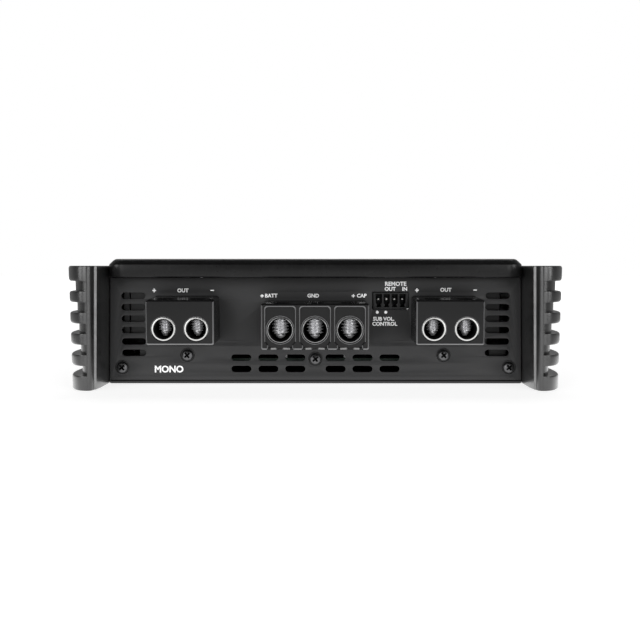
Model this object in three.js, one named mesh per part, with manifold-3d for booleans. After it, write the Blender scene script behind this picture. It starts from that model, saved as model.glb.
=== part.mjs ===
// A mono car amplifier: two finned side heat sinks, a bevelled top cover, a base sheet and two end panels,
// with the power and speaker terminals on the front panel, and the inputs and controls on the rear one.
// Millimetres. +X is right seen from the front, +Y runs from the front panel to the rear one, +Z is up.
// The origin is the centre of the footprint, on the mounting face.
import * as THREE from "three";
import { mergeVertices } from "three/addons/utils/BufferGeometryUtils.js";
import Module from "manifold-3d";

const wasm = await Module();
wasm.setup();

// ---- Driving dimensions ------------------------------------------------------------------------------
const GAP = 0.3; // clearance between neighbouring pieces
const HALF_LENGTH = 180; // from the centre to the tip of a heat sink nose
const HALF_WIDTH = 116.8; // to the outermost point of a fin
const SUNK = 0.7; // the heat sinks and the base reach this far below the level that heights are taken from
const SIDE_HEIGHT = 56.25; // top of the heat sinks
const COVER_RISE = 3.25; // how far the cover's plateau stands above the heat sinks
const NOSE_TIP_X = 103.2; // where a nose reaches furthest forward
const NOSE_EDGE_X = 99; // inner wall of a heat sink, before the taper
const NOSE_DEPTH = 25; // from the nose tip back to the panel face, and the length of the nose's rounding
const SIDE_TAPER = 0.13; // share of its width that a heat sink loses from top to bottom
const TAPER_CENTRE_X = 108;

const FIN_PITCH = 9.65;
const SLOT_HEIGHT = 4.75; // gap between two fins
const FIRST_SLOT_TOP = 49.3;
const SLOT_COUNT = 5;
const CORE_HALF = 114.4; // outer face of the wall behind the fins, at the first slot
const CORE_STEP = 0.7; // each lower slot is cut deeper by this much
const GROOVE_DEPTH = 6.5; // how far a slot cuts back from the nose tip

const PANEL_FACE_Y = -(HALF_LENGTH - NOSE_DEPTH);
const PANEL_SHEET = 1.5;
const BASE_SHEET = 1.4;
const LIP_REACH = 12; // how far the cover stands out over an end panel
const LIP_BOTTOM = 50.8;
const COVER_HALF = 98.2;
const COVER_CORNER = 9;
const BEVEL_FOOT = 56.8; // height at which the cover's bevel starts

const TERMINAL_FACE_Y = PANEL_FACE_Y - 21.2; // front face of the terminal blocks
const SCREW_AXIS_BACK = 6; // set screw axis behind that face
const SPEAKER_X = 62; // centre of a speaker block
const SPEAKER_PITCH = 15;
const POWER_PITCH = 16;
const BOARD_TOP = 10.6;
const BOARD_SHEET = 1.6;
const STANDOFF = { radius: 3, x: [-85, 0, 85], y: [-132, 0, 125] };

// Wire clamps: bore and collar radii, set screw radius, clamp block size and the height of the bore's axis.
const SPEAKER = {
  bore: 4.25, collar: 5.4, screw: 3.3, socket: 1.5, half: 6, low: 5.6, high: 7.4, length: 10.5, axisZ: 27.3,
};
const POWER = {
  bore: 5.1, collar: 5.9, screw: 4.2, socket: 2, half: 6.6, low: 6.4, high: 9.2, length: 12.5, axisZ: 26.8,
};
const CLAMP_DEPTH = 30; // length of a clamp block along the bore
const CLAMP_LEG = { half: 2, thick: 1.5 }; // the tail that solders a clamp to the board
const COLLAR_LENGTH = 2;
const FOOT_HEIGHT = 1.7;

// ---- Materials ---------------------------------------------------------------------------------------
const finish = (color, roughness, metalness) =>
  new THREE.MeshStandardMaterial({ color, roughness, metalness });
const MATERIAL = {
  castBlack: finish(0x1b1b1c, 0.5, 0.3),
  coverBlack: finish(0x202021, 0.6, 0.2),
  panelBlack: finish(0x2a2a2b, 0.55, 0.2),
  blockBlack: finish(0x161617, 0.4, 0),
  nickel: finish(0xd8d8d6, 0.25, 1),
  steel: finish(0xb9bbbd, 0.3, 1),
  blackScrew: finish(0x3a3a3c, 0.3, 1),
  gold: finish(0xd9b45a, 0.3, 1),
  board: finish(0x1d4a2c, 0.5, 0),
  winding: finish(0xb0602a, 0.35, 0.6),
  sleeveBlue: finish(0x22304a, 0.4, 0),
  knobGrey: finish(0x8b8b8b, 0.5, 0),
  lens: finish(0xc03028, 0.2, 0),
};

// ---- Geometry helpers --------------------------------------------------------------------------------
function solid(geometry) {
  const bare = geometry.index ? geometry.toNonIndexed() : geometry.clone();
  bare.deleteAttribute("normal");
  bare.deleteAttribute("uv");
  const merged = mergeVertices(bare, 1e-4);
  const vertProperties = new Float32Array(merged.attributes.position.array);
  const triVerts = new Uint32Array(merged.index.array);
  return new wasm.Manifold(new wasm.Mesh({ numProp: 3, vertProperties, triVerts }));
}

function surface(manifold) {
  const mesh = manifold.getMesh();
  const geometry = new THREE.BufferGeometry();
  geometry.setAttribute("position", new THREE.BufferAttribute(new Float32Array(mesh.vertProperties), 3));
  geometry.setIndex(new THREE.BufferAttribute(new Uint32Array(mesh.triVerts), 1));
  geometry.computeVertexNormals();
  return geometry;
}

const joined = (pieces) => pieces.map(solid).reduce((whole, piece) => whole.add(piece));
const cut = (whole, pieces) => pieces.map(solid).reduce((left, piece) => left.subtract(piece), whole);

// A box between two corners.
function box(x0, x1, y0, y1, z0, z1) {
  const made = new THREE.BoxGeometry(x1 - x0, y1 - y0, z1 - z0);
  return made.translate((x0 + x1) / 2, (y0 + y1) / 2, (z0 + z1) / 2);
}

// A cylinder along Y or Z between two stations on its axis.
function rod(axis, radius, from, to, [a, b] = [0, 0], sides = 20, tipRadius = radius) {
  const made = new THREE.CylinderGeometry(tipRadius, radius, to - from, sides);
  if (axis === "y") return made.translate(a, (from + to) / 2, b);
  return made.rotateX(Math.PI / 2).translate(a, b, (from + to) / 2);
}

// An outline drawn in the X-Z plane, grown forward (-Y) from the plane y = back.
function forward(shape, back, depth, curveSegments = 4) {
  const made = new THREE.ExtrudeGeometry(shape, { depth, bevelEnabled: false, curveSegments });
  return made.rotateX(Math.PI / 2).translate(0, back, 0);
}

// An outline drawn in the X-Y plane, grown up from the plane z = low.
function upward(shape, low, high, curveSegments = 6) {
  const made = new THREE.ExtrudeGeometry(shape, { depth: high - low, bevelEnabled: false, curveSegments });
  return made.translate(0, 0, low);
}

// A solid through convex sections of equal point count, each { z, points }, lowest first.
function stack(sections) {
  const count = sections[0].points.length;
  const position = [];
  const at = (level, i) => [...sections[level].points[i % count], sections[level].z];
  for (let level = 0; level + 1 < sections.length; level++)
    for (let i = 0; i < count; i++) {
      position.push(...at(level, i), ...at(level, i + 1), ...at(level + 1, i + 1));
      position.push(...at(level, i), ...at(level + 1, i + 1), ...at(level + 1, i));
    }
  const top = sections.length - 1;
  for (let i = 1; i + 1 < count; i++) {
    position.push(...at(0, 0), ...at(0, i + 1), ...at(0, i));
    position.push(...at(top, 0), ...at(top, i), ...at(top, i + 1));
  }
  return new THREE.BufferGeometry().setAttribute("position", new THREE.Float32BufferAttribute(position, 3));
}

function roundedRectangle(halfX, halfY, radius, steps = 5) {
  const points = [];
  const corners = [[1, -1, -90], [1, 1, 0], [-1, 1, 90], [-1, -1, 180]];
  for (const [sx, sy, start] of corners)
    for (let i = 0; i <= steps; i++) {
      const angle = THREE.MathUtils.degToRad(start + (90 * i) / steps);
      const x = sx * (halfX - radius) + radius * Math.cos(angle);
      points.push([x, sy * (halfY - radius) + radius * Math.sin(angle)]);
    }
  return points;
}

function rectangle(Kind, x0, x1, z0, z1) {
  const outline = new Kind();
  outline.moveTo(x0, z0).lineTo(x1, z0).lineTo(x1, z1).lineTo(x0, z1).closePath();
  return outline;
}

// A slot with round ends, centred on (x, z), as a hole of a panel.
function slotHole(x, z, length, height) {
  const radius = height / 2;
  const reach = length / 2 - radius;
  const hole = new THREE.Path();
  hole.moveTo(x - reach, z - radius).lineTo(x + reach, z - radius);
  hole.absarc(x + reach, z, radius, -Math.PI / 2, Math.PI / 2, false);
  hole.lineTo(x - reach, z + radius);
  hole.absarc(x - reach, z, radius, Math.PI / 2, (3 * Math.PI) / 2, false);
  return hole;
}

function roundHole(x, z, radius, sides = 12) {
  const points = [];
  for (let i = 0; i < sides; i++) {
    const angle = (2 * Math.PI * i) / sides;
    points.push(new THREE.Vector2(x + radius * Math.cos(angle), z + radius * Math.sin(angle)));
  }
  return new THREE.Path(points);
}

const amplifier = new THREE.Group();

function place(name, shape, material, [x, y, z] = [0, 0, 0]) {
  const geometry = shape.isBufferGeometry ? shape : surface(shape);
  const mesh = new THREE.Mesh(geometry, material);
  mesh.name = name;
  mesh.position.set(x, y, z);
  amplifier.add(mesh);
  return mesh;
}

// ---- Side heat sinks ---------------------------------------------------------------------------------
const NOSE_SEGMENTS = 5;
const INNER_NOSE = { x: 2.5, y: 4 }; // rounding between the nose tip and the bright inner edge
const INNER_CHAMFER = 1.1;

// One nose of the right-hand heat sink, in plan, from the inner wall round to the outer face.
function noseCurve(outline, outerX, cutBack) {
  const tipY = -HALF_LENGTH;
  const edgeY = tipY + INNER_NOSE.y;
  outline.moveTo(NOSE_EDGE_X, edgeY + INNER_CHAMFER);
  outline.lineTo(NOSE_TIP_X - INNER_NOSE.x, edgeY);
  outline.absellipse(NOSE_TIP_X, edgeY, INNER_NOSE.x, INNER_NOSE.y, Math.PI, 1.5 * Math.PI, false);
  outline.lineTo(NOSE_TIP_X, tipY + cutBack);
  const across = outerX - NOSE_TIP_X;
  outline.absellipse(NOSE_TIP_X, PANEL_FACE_Y, across, NOSE_DEPTH - cutBack, -Math.PI / 2, 0, false);
}

// The whole plan outline: the front nose, and its mirror image for the rear one.
function heatSinkPlan(outerX, cutBack) {
  const nose = new THREE.Path();
  noseCurve(nose, outerX, cutBack);
  const front = nose.getPoints(NOSE_SEGMENTS);
  const rear = front.map((p) => new THREE.Vector2(p.x, -p.y)).reverse();
  return new THREE.Shape([...front, ...rear]);
}

// Narrows a heat sink towards its foot, evenly from both sides.
function taper(geometry, side) {
  const position = geometry.attributes.position;
  for (let i = 0; i < position.count; i++) {
    const share = (SIDE_TAPER * (SIDE_HEIGHT - position.getZ(i))) / SIDE_HEIGHT;
    const centre = side * TAPER_CENTRE_X;
    position.setX(i, centre + (position.getX(i) - centre) * (1 - share));
  }
  return geometry;
}

function heatSink(side) {
  const fins = [];
  for (let i = 0; i <= SLOT_COUNT; i++) {
    const low = i === SLOT_COUNT ? -SUNK : FIRST_SLOT_TOP - i * FIN_PITCH;
    const high = i === 0 ? SIDE_HEIGHT : FIRST_SLOT_TOP - (i - 1) * FIN_PITCH - SLOT_HEIGHT;
    fins.push(upward(heatSinkPlan(HALF_WIDTH, 0), low, high));
  }
  for (let i = 0; i < SLOT_COUNT; i++) {
    const high = FIRST_SLOT_TOP - i * FIN_PITCH;
    const wall = heatSinkPlan(CORE_HALF - i * CORE_STEP, GROOVE_DEPTH);
    fins.push(upward(wall, high - SLOT_HEIGHT, high));
  }
  const geometry = surface(joined(fins));
  if (side < 0) {
    geometry.scale(-1, 1, 1);
    const index = geometry.index.array;
    for (let i = 0; i < index.length; i += 3) [index[i], index[i + 1]] = [index[i + 1], index[i]];
  }
  return taper(geometry, side);
}

place("heatsink_left", heatSink(-1), MATERIAL.castBlack);
place("heatsink_right", heatSink(1), MATERIAL.castBlack);

// Half the space between the inner walls at height z.
const spaceHalf = (z) => {
  const share = (SIDE_TAPER * (SIDE_HEIGHT - z)) / SIDE_HEIGHT;
  return TAPER_CENTRE_X + (NOSE_EDGE_X - TAPER_CENTRE_X) * (1 - share);
};

// ---- Cover and base ----------------------------------------------------------------------------------
function topCover() {
  const halfY = -PANEL_FACE_Y + LIP_REACH;
  const top = SIDE_HEIGHT + COVER_RISE;
  const bevel = top - BEVEL_FOOT;
  const wide = roundedRectangle(COVER_HALF, halfY, COVER_CORNER);
  const narrow = roundedRectangle(COVER_HALF - bevel, halfY - bevel, COVER_CORNER - bevel);
  const shell = solid(stack([
    { z: LIP_BOTTOM, points: wide },
    { z: BEVEL_FOOT, points: wide },
    { z: top, points: narrow },
  ]));
  const rim = 4;
  const shelf = 5; // the cover's underside reaches this far behind each end panel
  const pocketY = -PANEL_FACE_Y - shelf;
  const pocketX = COVER_HALF - rim;
  return cut(shell, [box(-pocketX, pocketX, -pocketY, pocketY, LIP_BOTTOM - 1, top - COVER_RISE)]);
}

// The base sheet with the pressed-in pillars that carry the board.
function basePlate() {
  const half = spaceHalf(-SUNK) - GAP - 0.1;
  const sheetTop = BASE_SHEET - SUNK;
  const pillars = STANDOFF.x.flatMap((x) => STANDOFF.y.map((y) => {
    return rod("z", STANDOFF.radius, sheetTop - 0.1, BOARD_TOP - BOARD_SHEET - GAP, [x, y], 6);
  }));
  return joined([box(-half, half, PANEL_FACE_Y, -PANEL_FACE_Y, -SUNK, sheetTop), ...pillars]);
}

place("top_cover", topCover(), MATERIAL.coverBlack);
place("bottom_plate", basePlate(), MATERIAL.panelBlack);

// ---- End panels --------------------------------------------------------------------------------------
const PANEL_LOW = BASE_SHEET - SUNK + GAP;
const PANEL_HIGH = LIP_BOTTOM - GAP;
const SLOT = { height: 3, side: 11.5, middle: 9.5 };
const SIDE_SLOT_X = 87.8;
const SIDE_SLOT_LOW = 14.2;
const SLOT_ROW_PITCH = 5.5;
const MIDDLE_SLOT_ROWS = [6.35, 11.85];
const MIDDLE_SLOT_X = [9.8, 22.85, 35.9];
const CORNER_SCREW = { x: 93.6, z: 7.15 };
const BLOCK_SCREW_Z = 13.1;
const POWER_SCREW_Z = 11.3;
const SCREW_HOLE = 1.9;
// Half width, low and high of a block's neck through the panel.
const BLOCK_TAIL = { speaker: [14.6, 21, 40], power: [23.8, 19.4, 38.2] };
const HEADER = { x: 36.2, half: 8.4, low: 35.6, high: 43.4, proud: 1.1, depth: 9 };

function panelOutline() {
  const low = spaceHalf(PANEL_LOW) - GAP - 0.1;
  const high = spaceHalf(PANEL_HIGH) - GAP - 0.1;
  const outline = new THREE.Shape();
  outline.moveTo(-low, PANEL_LOW).lineTo(low, PANEL_LOW).lineTo(high, PANEL_HIGH).lineTo(-high, PANEL_HIGH);
  outline.closePath();
  return outline;
}

function frontPanel() {
  const outline = panelOutline();
  for (const side of [-1, 1]) {
    for (let i = 0; i < 6; i++) {
      const z = SIDE_SLOT_LOW + i * SLOT_ROW_PITCH;
      outline.holes.push(slotHole(side * SIDE_SLOT_X, z, SLOT.side, SLOT.height));
    }
    for (const z of MIDDLE_SLOT_ROWS)
      for (const x of MIDDLE_SLOT_X) outline.holes.push(slotHole(side * x, z, SLOT.middle, SLOT.height));
    const [half, low, high] = BLOCK_TAIL.speaker;
    const centre = side * SPEAKER_X;
    const edges = [centre - half - GAP, centre + half + GAP, low - GAP, high + GAP];
    outline.holes.push(rectangle(THREE.Path, ...edges));
    outline.holes.push(roundHole(side * CORNER_SCREW.x, CORNER_SCREW.z, SCREW_HOLE));
    outline.holes.push(roundHole(centre, BLOCK_SCREW_Z, SCREW_HOLE));
  }
  const [half, low, high] = BLOCK_TAIL.power;
  outline.holes.push(rectangle(THREE.Path, -half - GAP, half + GAP, low - GAP, high + GAP));
  outline.holes.push(roundHole(0, POWER_SCREW_Z, SCREW_HOLE));
  const { x, half: wide, low: bottom, high: top } = HEADER;
  outline.holes.push(rectangle(THREE.Path, x - wide - GAP, x + wide + GAP, bottom - GAP, top + GAP));
  return forward(outline, PANEL_FACE_Y + PANEL_SHEET, PANEL_SHEET, 2);
}

const REAR = { face: -PANEL_FACE_Y, rcaX: -62, rcaZ: 27, rcaPitch: 18, knobX: [-26, -8, 10], controlZ: 29 };
const RCA_HOLE = 5.6;
const KNOB = { radius: 3.2, proud: 4, inside: 9 };
const SWITCH = { x: 28, half: 1.6, high: 1.2, travel: 3, proud: 3.4, inside: 5 };
const LENS = { x: 40, radius: 1.5 };
const FAN = { x: 72, z: 27, half: 20, depth: 10, bore: 18.6, hub: 9, blade: 17.8 };
const FAN_SLOTS = { count: 6, length: 32 };

function rearPanel() {
  const outline = panelOutline();
  for (const side of [-1, 1]) {
    outline.holes.push(roundHole(side * CORNER_SCREW.x, CORNER_SCREW.z, SCREW_HOLE));
    outline.holes.push(roundHole(REAR.rcaX + (side * REAR.rcaPitch) / 2, REAR.rcaZ, RCA_HOLE));
  }
  for (const x of REAR.knobX) outline.holes.push(roundHole(x, REAR.controlZ, KNOB.radius + GAP));
  const switchEdges = [SWITCH.x - SWITCH.half - GAP, SWITCH.x + SWITCH.half + SWITCH.travel + GAP];
  const [low, high] = [REAR.controlZ - SWITCH.high - GAP, REAR.controlZ + SWITCH.high + GAP];
  outline.holes.push(rectangle(THREE.Path, ...switchEdges, low, high));
  outline.holes.push(roundHole(LENS.x, REAR.controlZ, LENS.radius + GAP));
  for (let i = 0; i < FAN_SLOTS.count; i++) {
    const z = FAN.z + (i - (FAN_SLOTS.count - 1) / 2) * SLOT_ROW_PITCH;
    outline.holes.push(slotHole(FAN.x, z, FAN_SLOTS.length, SLOT.height));
  }
  return forward(outline, REAR.face, PANEL_SHEET, 2);
}

place("front_panel", frontPanel(), MATERIAL.panelBlack);
place("rear_panel", rearPanel(), MATERIAL.panelBlack);

// ---- Panel screws: pan head with a cross recess, axis along Y, head facing -Y ------------------------
const HEAD = { radius: 2.75, height: 1.7, top: 1.9 };
const SHANK = { radius: 1.5, length: 7 };

function panelScrew() {
  const face = -GAP;
  const head = rod("y", HEAD.radius, face - HEAD.height, face, [0, 0], 20).translate(0, 0, 0);
  const crown = rod("y", HEAD.top, face - HEAD.height - 0.5, face - HEAD.height, [0, 0], 20, HEAD.radius);
  const whole = joined([head, crown, rod("y", SHANK.radius, face - 0.1, SHANK.length, [0, 0], 12)]);
  const recess = [[1.6, 0.35], [0.35, 1.6]].map(([x, z]) => box(-x, x, -4, face - 1, -z, z));
  return cut(whole, recess);
}

const screwGeometry = surface(panelScrew());
const frontScrews = {
  corner_screw_left: [-CORNER_SCREW.x, CORNER_SCREW.z],
  corner_screw_right: [CORNER_SCREW.x, CORNER_SCREW.z],
  block_screw_left: [-SPEAKER_X, BLOCK_SCREW_Z],
  block_screw_right: [SPEAKER_X, BLOCK_SCREW_Z],
  block_screw_power: [0, POWER_SCREW_Z],
};
for (const [name, [x, z]] of Object.entries(frontScrews))
  place(name, screwGeometry, MATERIAL.blackScrew, [x, PANEL_FACE_Y, z]);
for (const [name, side] of [["rear_screw_left", -1], ["rear_screw_right", 1]]) {
  const at = [side * CORNER_SCREW.x, REAR.face, CORNER_SCREW.z];
  const screw = place(name, screwGeometry, MATERIAL.blackScrew, at);
  screw.rotation.z = Math.PI;
}

// ---- Terminal blocks ---------------------------------------------------------------------------------
const BLOCK_BACK = PANEL_FACE_Y - GAP;
const NECK_BACK = PANEL_FACE_Y + 13;
const clampBackY = TERMINAL_FACE_Y + COLLAR_LENGTH + CLAMP_DEPTH;
const screwY = TERMINAL_FACE_Y + SCREW_AXIS_BACK;
const CHIMNEY_SIDES = 16;

// What one wire clamp takes out of its block: the mouth, the clamp's pocket and the set screw's chimney.
function clampRoom(kind, x, blockTop) {
  const mouthEnd = TERMINAL_FACE_Y + COLLAR_LENGTH + 1;
  const [low, high] = [kind.axisZ - kind.low - GAP, kind.axisZ + kind.high + GAP];
  const pocketFront = TERMINAL_FACE_Y + COLLAR_LENGTH - GAP;
  const leg = CLAMP_LEG.half + GAP;
  const legFront = clampBackY - CLAMP_LEG.thick - GAP;
  return [
    rod("y", kind.collar + GAP, TERMINAL_FACE_Y - 1, mouthEnd, [x, kind.axisZ], 24),
    box(x - kind.half - GAP, x + kind.half + GAP, pocketFront, NECK_BACK + 1, low, high),
    box(x - leg, x + leg, legFront, NECK_BACK + 1, low - 3, low + 1),
    rod("z", kind.screw + GAP, kind.axisZ, blockTop + 1, [x, screwY], CHIMNEY_SIDES),
  ];
}

// The tab behind the panel that the block's screw bites into.
function screwTab(x, z, top) {
  const half = 5;
  const front = PANEL_FACE_Y + PANEL_SHEET + GAP;
  return cut(solid(box(x - half, x + half, front, front + 5, z - 4, top)), [
    rod("y", SHANK.radius + GAP, front - 1, front + 6, [x, z], 12),
  ]);
}

function speakerBlock(side) {
  const centre = side * SPEAKER_X;
  const half = 15.65;
  const [bottom, topBack, topFront] = [20, 41.8, 40.4];
  const profile = new THREE.Shape(); // drawn in Y-Z, then turned to run along X
  profile.moveTo(TERMINAL_FACE_Y, bottom).lineTo(BLOCK_BACK, bottom).lineTo(BLOCK_BACK, topBack);
  profile.lineTo(TERMINAL_FACE_Y, topFront).closePath();
  const body = new THREE.ExtrudeGeometry(profile, { depth: 2 * half, bevelEnabled: false });
  body.applyMatrix4(new THREE.Matrix4().makeBasis(
    new THREE.Vector3(0, 1, 0),
    new THREE.Vector3(0, 0, 1),
    new THREE.Vector3(1, 0, 0),
  )).translate(centre - half, 0, 0);
  const [neck, low, high] = BLOCK_TAIL.speaker;
  const whole = joined([body, box(centre - neck, centre + neck, BLOCK_BACK - 0.1, NECK_BACK, low, high)]);
  const tabbed = whole.add(screwTab(centre, BLOCK_SCREW_Z, low + 2));
  const room = [-0.5, 0.5].flatMap((s) => clampRoom(SPEAKER, centre + s * SPEAKER_PITCH, topBack));
  return cut(tabbed, room);
}

const CELL = { half: 6.6, low: 19, high: 38, depth: 1.6 }; // the shallow recess round each power bore

function powerBlock() {
  const half = 24.7;
  const [bottom, top] = [17.8, 39.5];
  const [neck, low, high] = BLOCK_TAIL.power;
  const whole = joined([
    box(-half, half, TERMINAL_FACE_Y, BLOCK_BACK, bottom, top),
    box(-neck, neck, BLOCK_BACK - 0.1, NECK_BACK, low, high),
  ]);
  const tabbed = whole.add(screwTab(0, POWER_SCREW_Z, low + 2));
  const pieces = [-1, 0, 1].flatMap((i) => {
    const x = i * POWER_PITCH;
    const [front, back] = [TERMINAL_FACE_Y - 1, TERMINAL_FACE_Y + CELL.depth];
    const cell = box(x - CELL.half, x + CELL.half, front, back, CELL.low, CELL.high);
    return [cell, ...clampRoom(POWER, x, top)];
  });
  return cut(tabbed, pieces);
}

place("speaker_block_left", speakerBlock(-1), MATERIAL.blockBlack);
place("speaker_block_right", speakerBlock(1), MATERIAL.blockBlack);
place("power_block", powerBlock(), MATERIAL.blockBlack);

// ---- Wire clamps: a plated clamp, a hex set screw and the swivel foot on its end --------------------
// Each is drawn round the bore's axis at the terminal face, so its mesh is placed at that point.
function wireClamp(kind, frontInset) {
  const front = COLLAR_LENGTH;
  const back = clampBackY - TERMINAL_FACE_Y;
  const { half: legHalf, thick: legThick } = CLAMP_LEG;
  const legFoot = BOARD_TOP + GAP - kind.axisZ;
  const whole = joined([
    rod("y", kind.collar, frontInset, front + 0.5, [0, 0], 24),
    box(-kind.half, kind.half, front, back, -kind.low, kind.high),
    box(-legHalf, legHalf, back - legThick, back, legFoot, -kind.low + 1),
  ]);
  return cut(whole, [
    rod("y", kind.bore, -1, SCREW_AXIS_BACK + kind.screw + 6, [0, 0], 24),
    rod("z", kind.screw + GAP, 0, kind.high + 1, [0, SCREW_AXIS_BACK], CHIMNEY_SIDES),
  ]);
}

const footHalf = (kind) => kind.screw * 0.62;
const footLow = (kind) => 0.05 + GAP - Math.sqrt(kind.bore ** 2 - footHalf(kind) ** 2);
const screwLow = (kind) => footLow(kind) + FOOT_HEIGHT + GAP; // underside of a fully tightened set screw
const STEM = { radius: 0.8, height: 1.6, clearance: 0.3 };

function setScrew(kind) {
  const low = screwLow(kind);
  const high = low + kind.length;
  const body = joined([
    rod("z", kind.screw - 0.6, low, low + 0.6, [0, SCREW_AXIS_BACK], CHIMNEY_SIDES, kind.screw),
    rod("z", kind.screw, low + 0.6, high, [0, SCREW_AXIS_BACK], CHIMNEY_SIDES),
  ]);
  const socketRadius = kind.socket / Math.cos(Math.PI / 6);
  const axis = [0, SCREW_AXIS_BACK];
  return cut(body, [
    rod("z", socketRadius, high - 4, high + 1, [0, SCREW_AXIS_BACK], 6),
    rod("z", STEM.radius + STEM.clearance, low - 1, low + STEM.height + STEM.clearance, axis, 12),
  ]);
}

function swivelFoot(kind) {
  const low = footLow(kind);
  const wide = footHalf(kind);
  const axis = [0, SCREW_AXIS_BACK];
  return joined([
    rod("z", wide * 0.5, low, low + FOOT_HEIGHT, axis, 16, wide * 0.95),
    rod("z", STEM.radius, low + FOOT_HEIGHT - 0.1, low + FOOT_HEIGHT + STEM.height, axis, 12),
  ]);
}

const terminals = [
  ["left_plus", SPEAKER, -SPEAKER_X - SPEAKER_PITCH / 2],
  ["left_minus", SPEAKER, -SPEAKER_X + SPEAKER_PITCH / 2],
  ["battery", POWER, -POWER_PITCH],
  ["ground", POWER, 0],
  ["capacitor", POWER, POWER_PITCH],
  ["right_plus", SPEAKER, SPEAKER_X - SPEAKER_PITCH / 2],
  ["right_minus", SPEAKER, SPEAKER_X + SPEAKER_PITCH / 2],
];
// How far a collar sits behind the block's face.
const COLLAR_INSET = new Map([[SPEAKER, 0.2], [POWER, 0.9]]);
for (const kind of [SPEAKER, POWER]) {
  const shapes = {
    clamp: surface(wireClamp(kind, COLLAR_INSET.get(kind))),
    set_screw: surface(setScrew(kind)),
    foot: surface(swivelFoot(kind)),
  };
  for (const [name, ownKind, x] of terminals) {
    if (ownKind !== kind) continue;
    const at = [x, TERMINAL_FACE_Y, kind.axisZ];
    place(`${name}_clamp`, shapes.clamp, MATERIAL.nickel, at);
    place(`${name}_set_screw`, shapes.set_screw, MATERIAL.steel, at);
    place(`${name}_foot`, shapes.foot, MATERIAL.steel, at);
  }
}

// ---- Remote header: a four-way socket with its pins --------------------------------------------------
const PIN = { pitch: 3.81, half: 0.5, z: 40.2 };
const pinX = (i) => HEADER.x + (i - 1.5) * PIN.pitch;

function remoteHeader() {
  const front = PANEL_FACE_Y - HEADER.proud;
  const back = PANEL_FACE_Y + HEADER.depth;
  const cuts = [0, 1, 2, 3].flatMap((i) => {
    const x = pinX(i);
    const hole = PIN.half + GAP;
    return [
      box(x - 1.5, x + 1.5, front - 1, back - 2, 36.6, 42.4),
      box(x - hole, x + hole, back - 3, back + 1, PIN.z - hole, PIN.z + hole),
    ];
  });
  const [left, right] = [HEADER.x - HEADER.half, HEADER.x + HEADER.half];
  return cut(solid(box(left, right, front, back, HEADER.low, HEADER.high)), cuts);
}

place("remote_header", remoteHeader(), MATERIAL.blockBlack);
for (let i = 0; i < 4; i++) {
  const [tip, tail] = [PANEL_FACE_Y + 1, PANEL_FACE_Y + HEADER.depth + 3];
  const pin = box(-PIN.half, PIN.half, tip, tail, -PIN.half, PIN.half);
  place(`header_pin_${i + 1}`, pin, MATERIAL.gold, [pinX(i), 0, PIN.z]);
}

// ---- Rear end: inputs, controls and the fan ----------------------------------------------------------
const RCA = { outer: 4.2, inner: 3.3, proud: 9, collar: 5.2 };

function rcaBlock() {
  const inside = REAR.face - PANEL_SHEET - GAP;
  const parts = [box(REAR.rcaX - 18, REAR.rcaX + 18, inside - 12, inside, BOARD_TOP + GAP, 37)];
  const bores = [];
  for (const side of [-1, 1]) {
    const at = [REAR.rcaX + (side * REAR.rcaPitch) / 2, REAR.rcaZ];
    parts.push(rod("y", RCA.collar, inside - 1, REAR.face + 1.5, at, 20));
    bores.push(rod("y", RCA.outer + GAP, inside - 8, REAR.face + 3, at, 20));
  }
  return cut(joined(parts), bores);
}

function rcaShell() {
  const tube = solid(rod("y", RCA.outer, -8, RCA.proud, [0, 0], 20));
  return cut(tube, [rod("y", RCA.inner, -5, RCA.proud + 1, [0, 0], 20)]);
}

place("rca_block", rcaBlock(), MATERIAL.blockBlack);
const rcaGeometry = surface(rcaShell());
for (const [name, side] of [["rca_shell_left", -1], ["rca_shell_right", 1]])
  place(name, rcaGeometry, MATERIAL.nickel, [REAR.rcaX + (side * REAR.rcaPitch) / 2, REAR.face, REAR.rcaZ]);

// The block behind the rear panel that the three controls turn in and the switch slides in.
function controlBlock() {
  const inside = REAR.face - PANEL_SHEET - GAP;
  const whole = solid(box(-34, 45, inside - 14, inside, BOARD_TOP + GAP, 37));
  const floor = REAR.face - KNOB.inside - GAP;
  const bores = REAR.knobX.map((x) => rod("y", KNOB.radius + GAP, floor, REAR.face, [x, REAR.controlZ]));
  bores.push(box(
    SWITCH.x - SWITCH.half - GAP, SWITCH.x + SWITCH.half + SWITCH.travel + GAP,
    REAR.face - SWITCH.inside - GAP, REAR.face,
    REAR.controlZ - SWITCH.high - GAP, REAR.controlZ + SWITCH.high + GAP,
  ));
  bores.push(rod("y", LENS.radius + GAP, REAR.face - 5 - GAP, REAR.face, [LENS.x, REAR.controlZ], 12));
  return cut(whole, bores);
}

function knob() {
  const shaft = solid(rod("y", KNOB.radius, -KNOB.inside, KNOB.proud, [0, 0], 24));
  return cut(shaft, [box(-0.5, 0.5, KNOB.proud - 1.4, KNOB.proud + 1, -1, KNOB.radius + 1)]);
}

place("control_block", controlBlock(), MATERIAL.blockBlack);
const knobGeometry = surface(knob());
["level_knob", "low_pass_knob", "bass_knob"].forEach((name, i) => {
  place(name, knobGeometry, MATERIAL.knobGrey, [REAR.knobX[i], REAR.face, REAR.controlZ]);
});
const slider = box(-SWITCH.half, SWITCH.half, -SWITCH.inside, SWITCH.proud, -SWITCH.high, SWITCH.high);
place("phase_switch", slider, MATERIAL.knobGrey, [SWITCH.x, REAR.face, REAR.controlZ]);
const lensAt = [LENS.x, REAR.face, REAR.controlZ];
place("status_lens", rod("y", LENS.radius, -5, 0.6, [0, 0], 12), MATERIAL.lens, lensAt);

// The fan is drawn round its axle, which points along +Y, with y = 0 at the face next to the panel.
const AXLE = { radius: 1.2, length: 7 };

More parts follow.
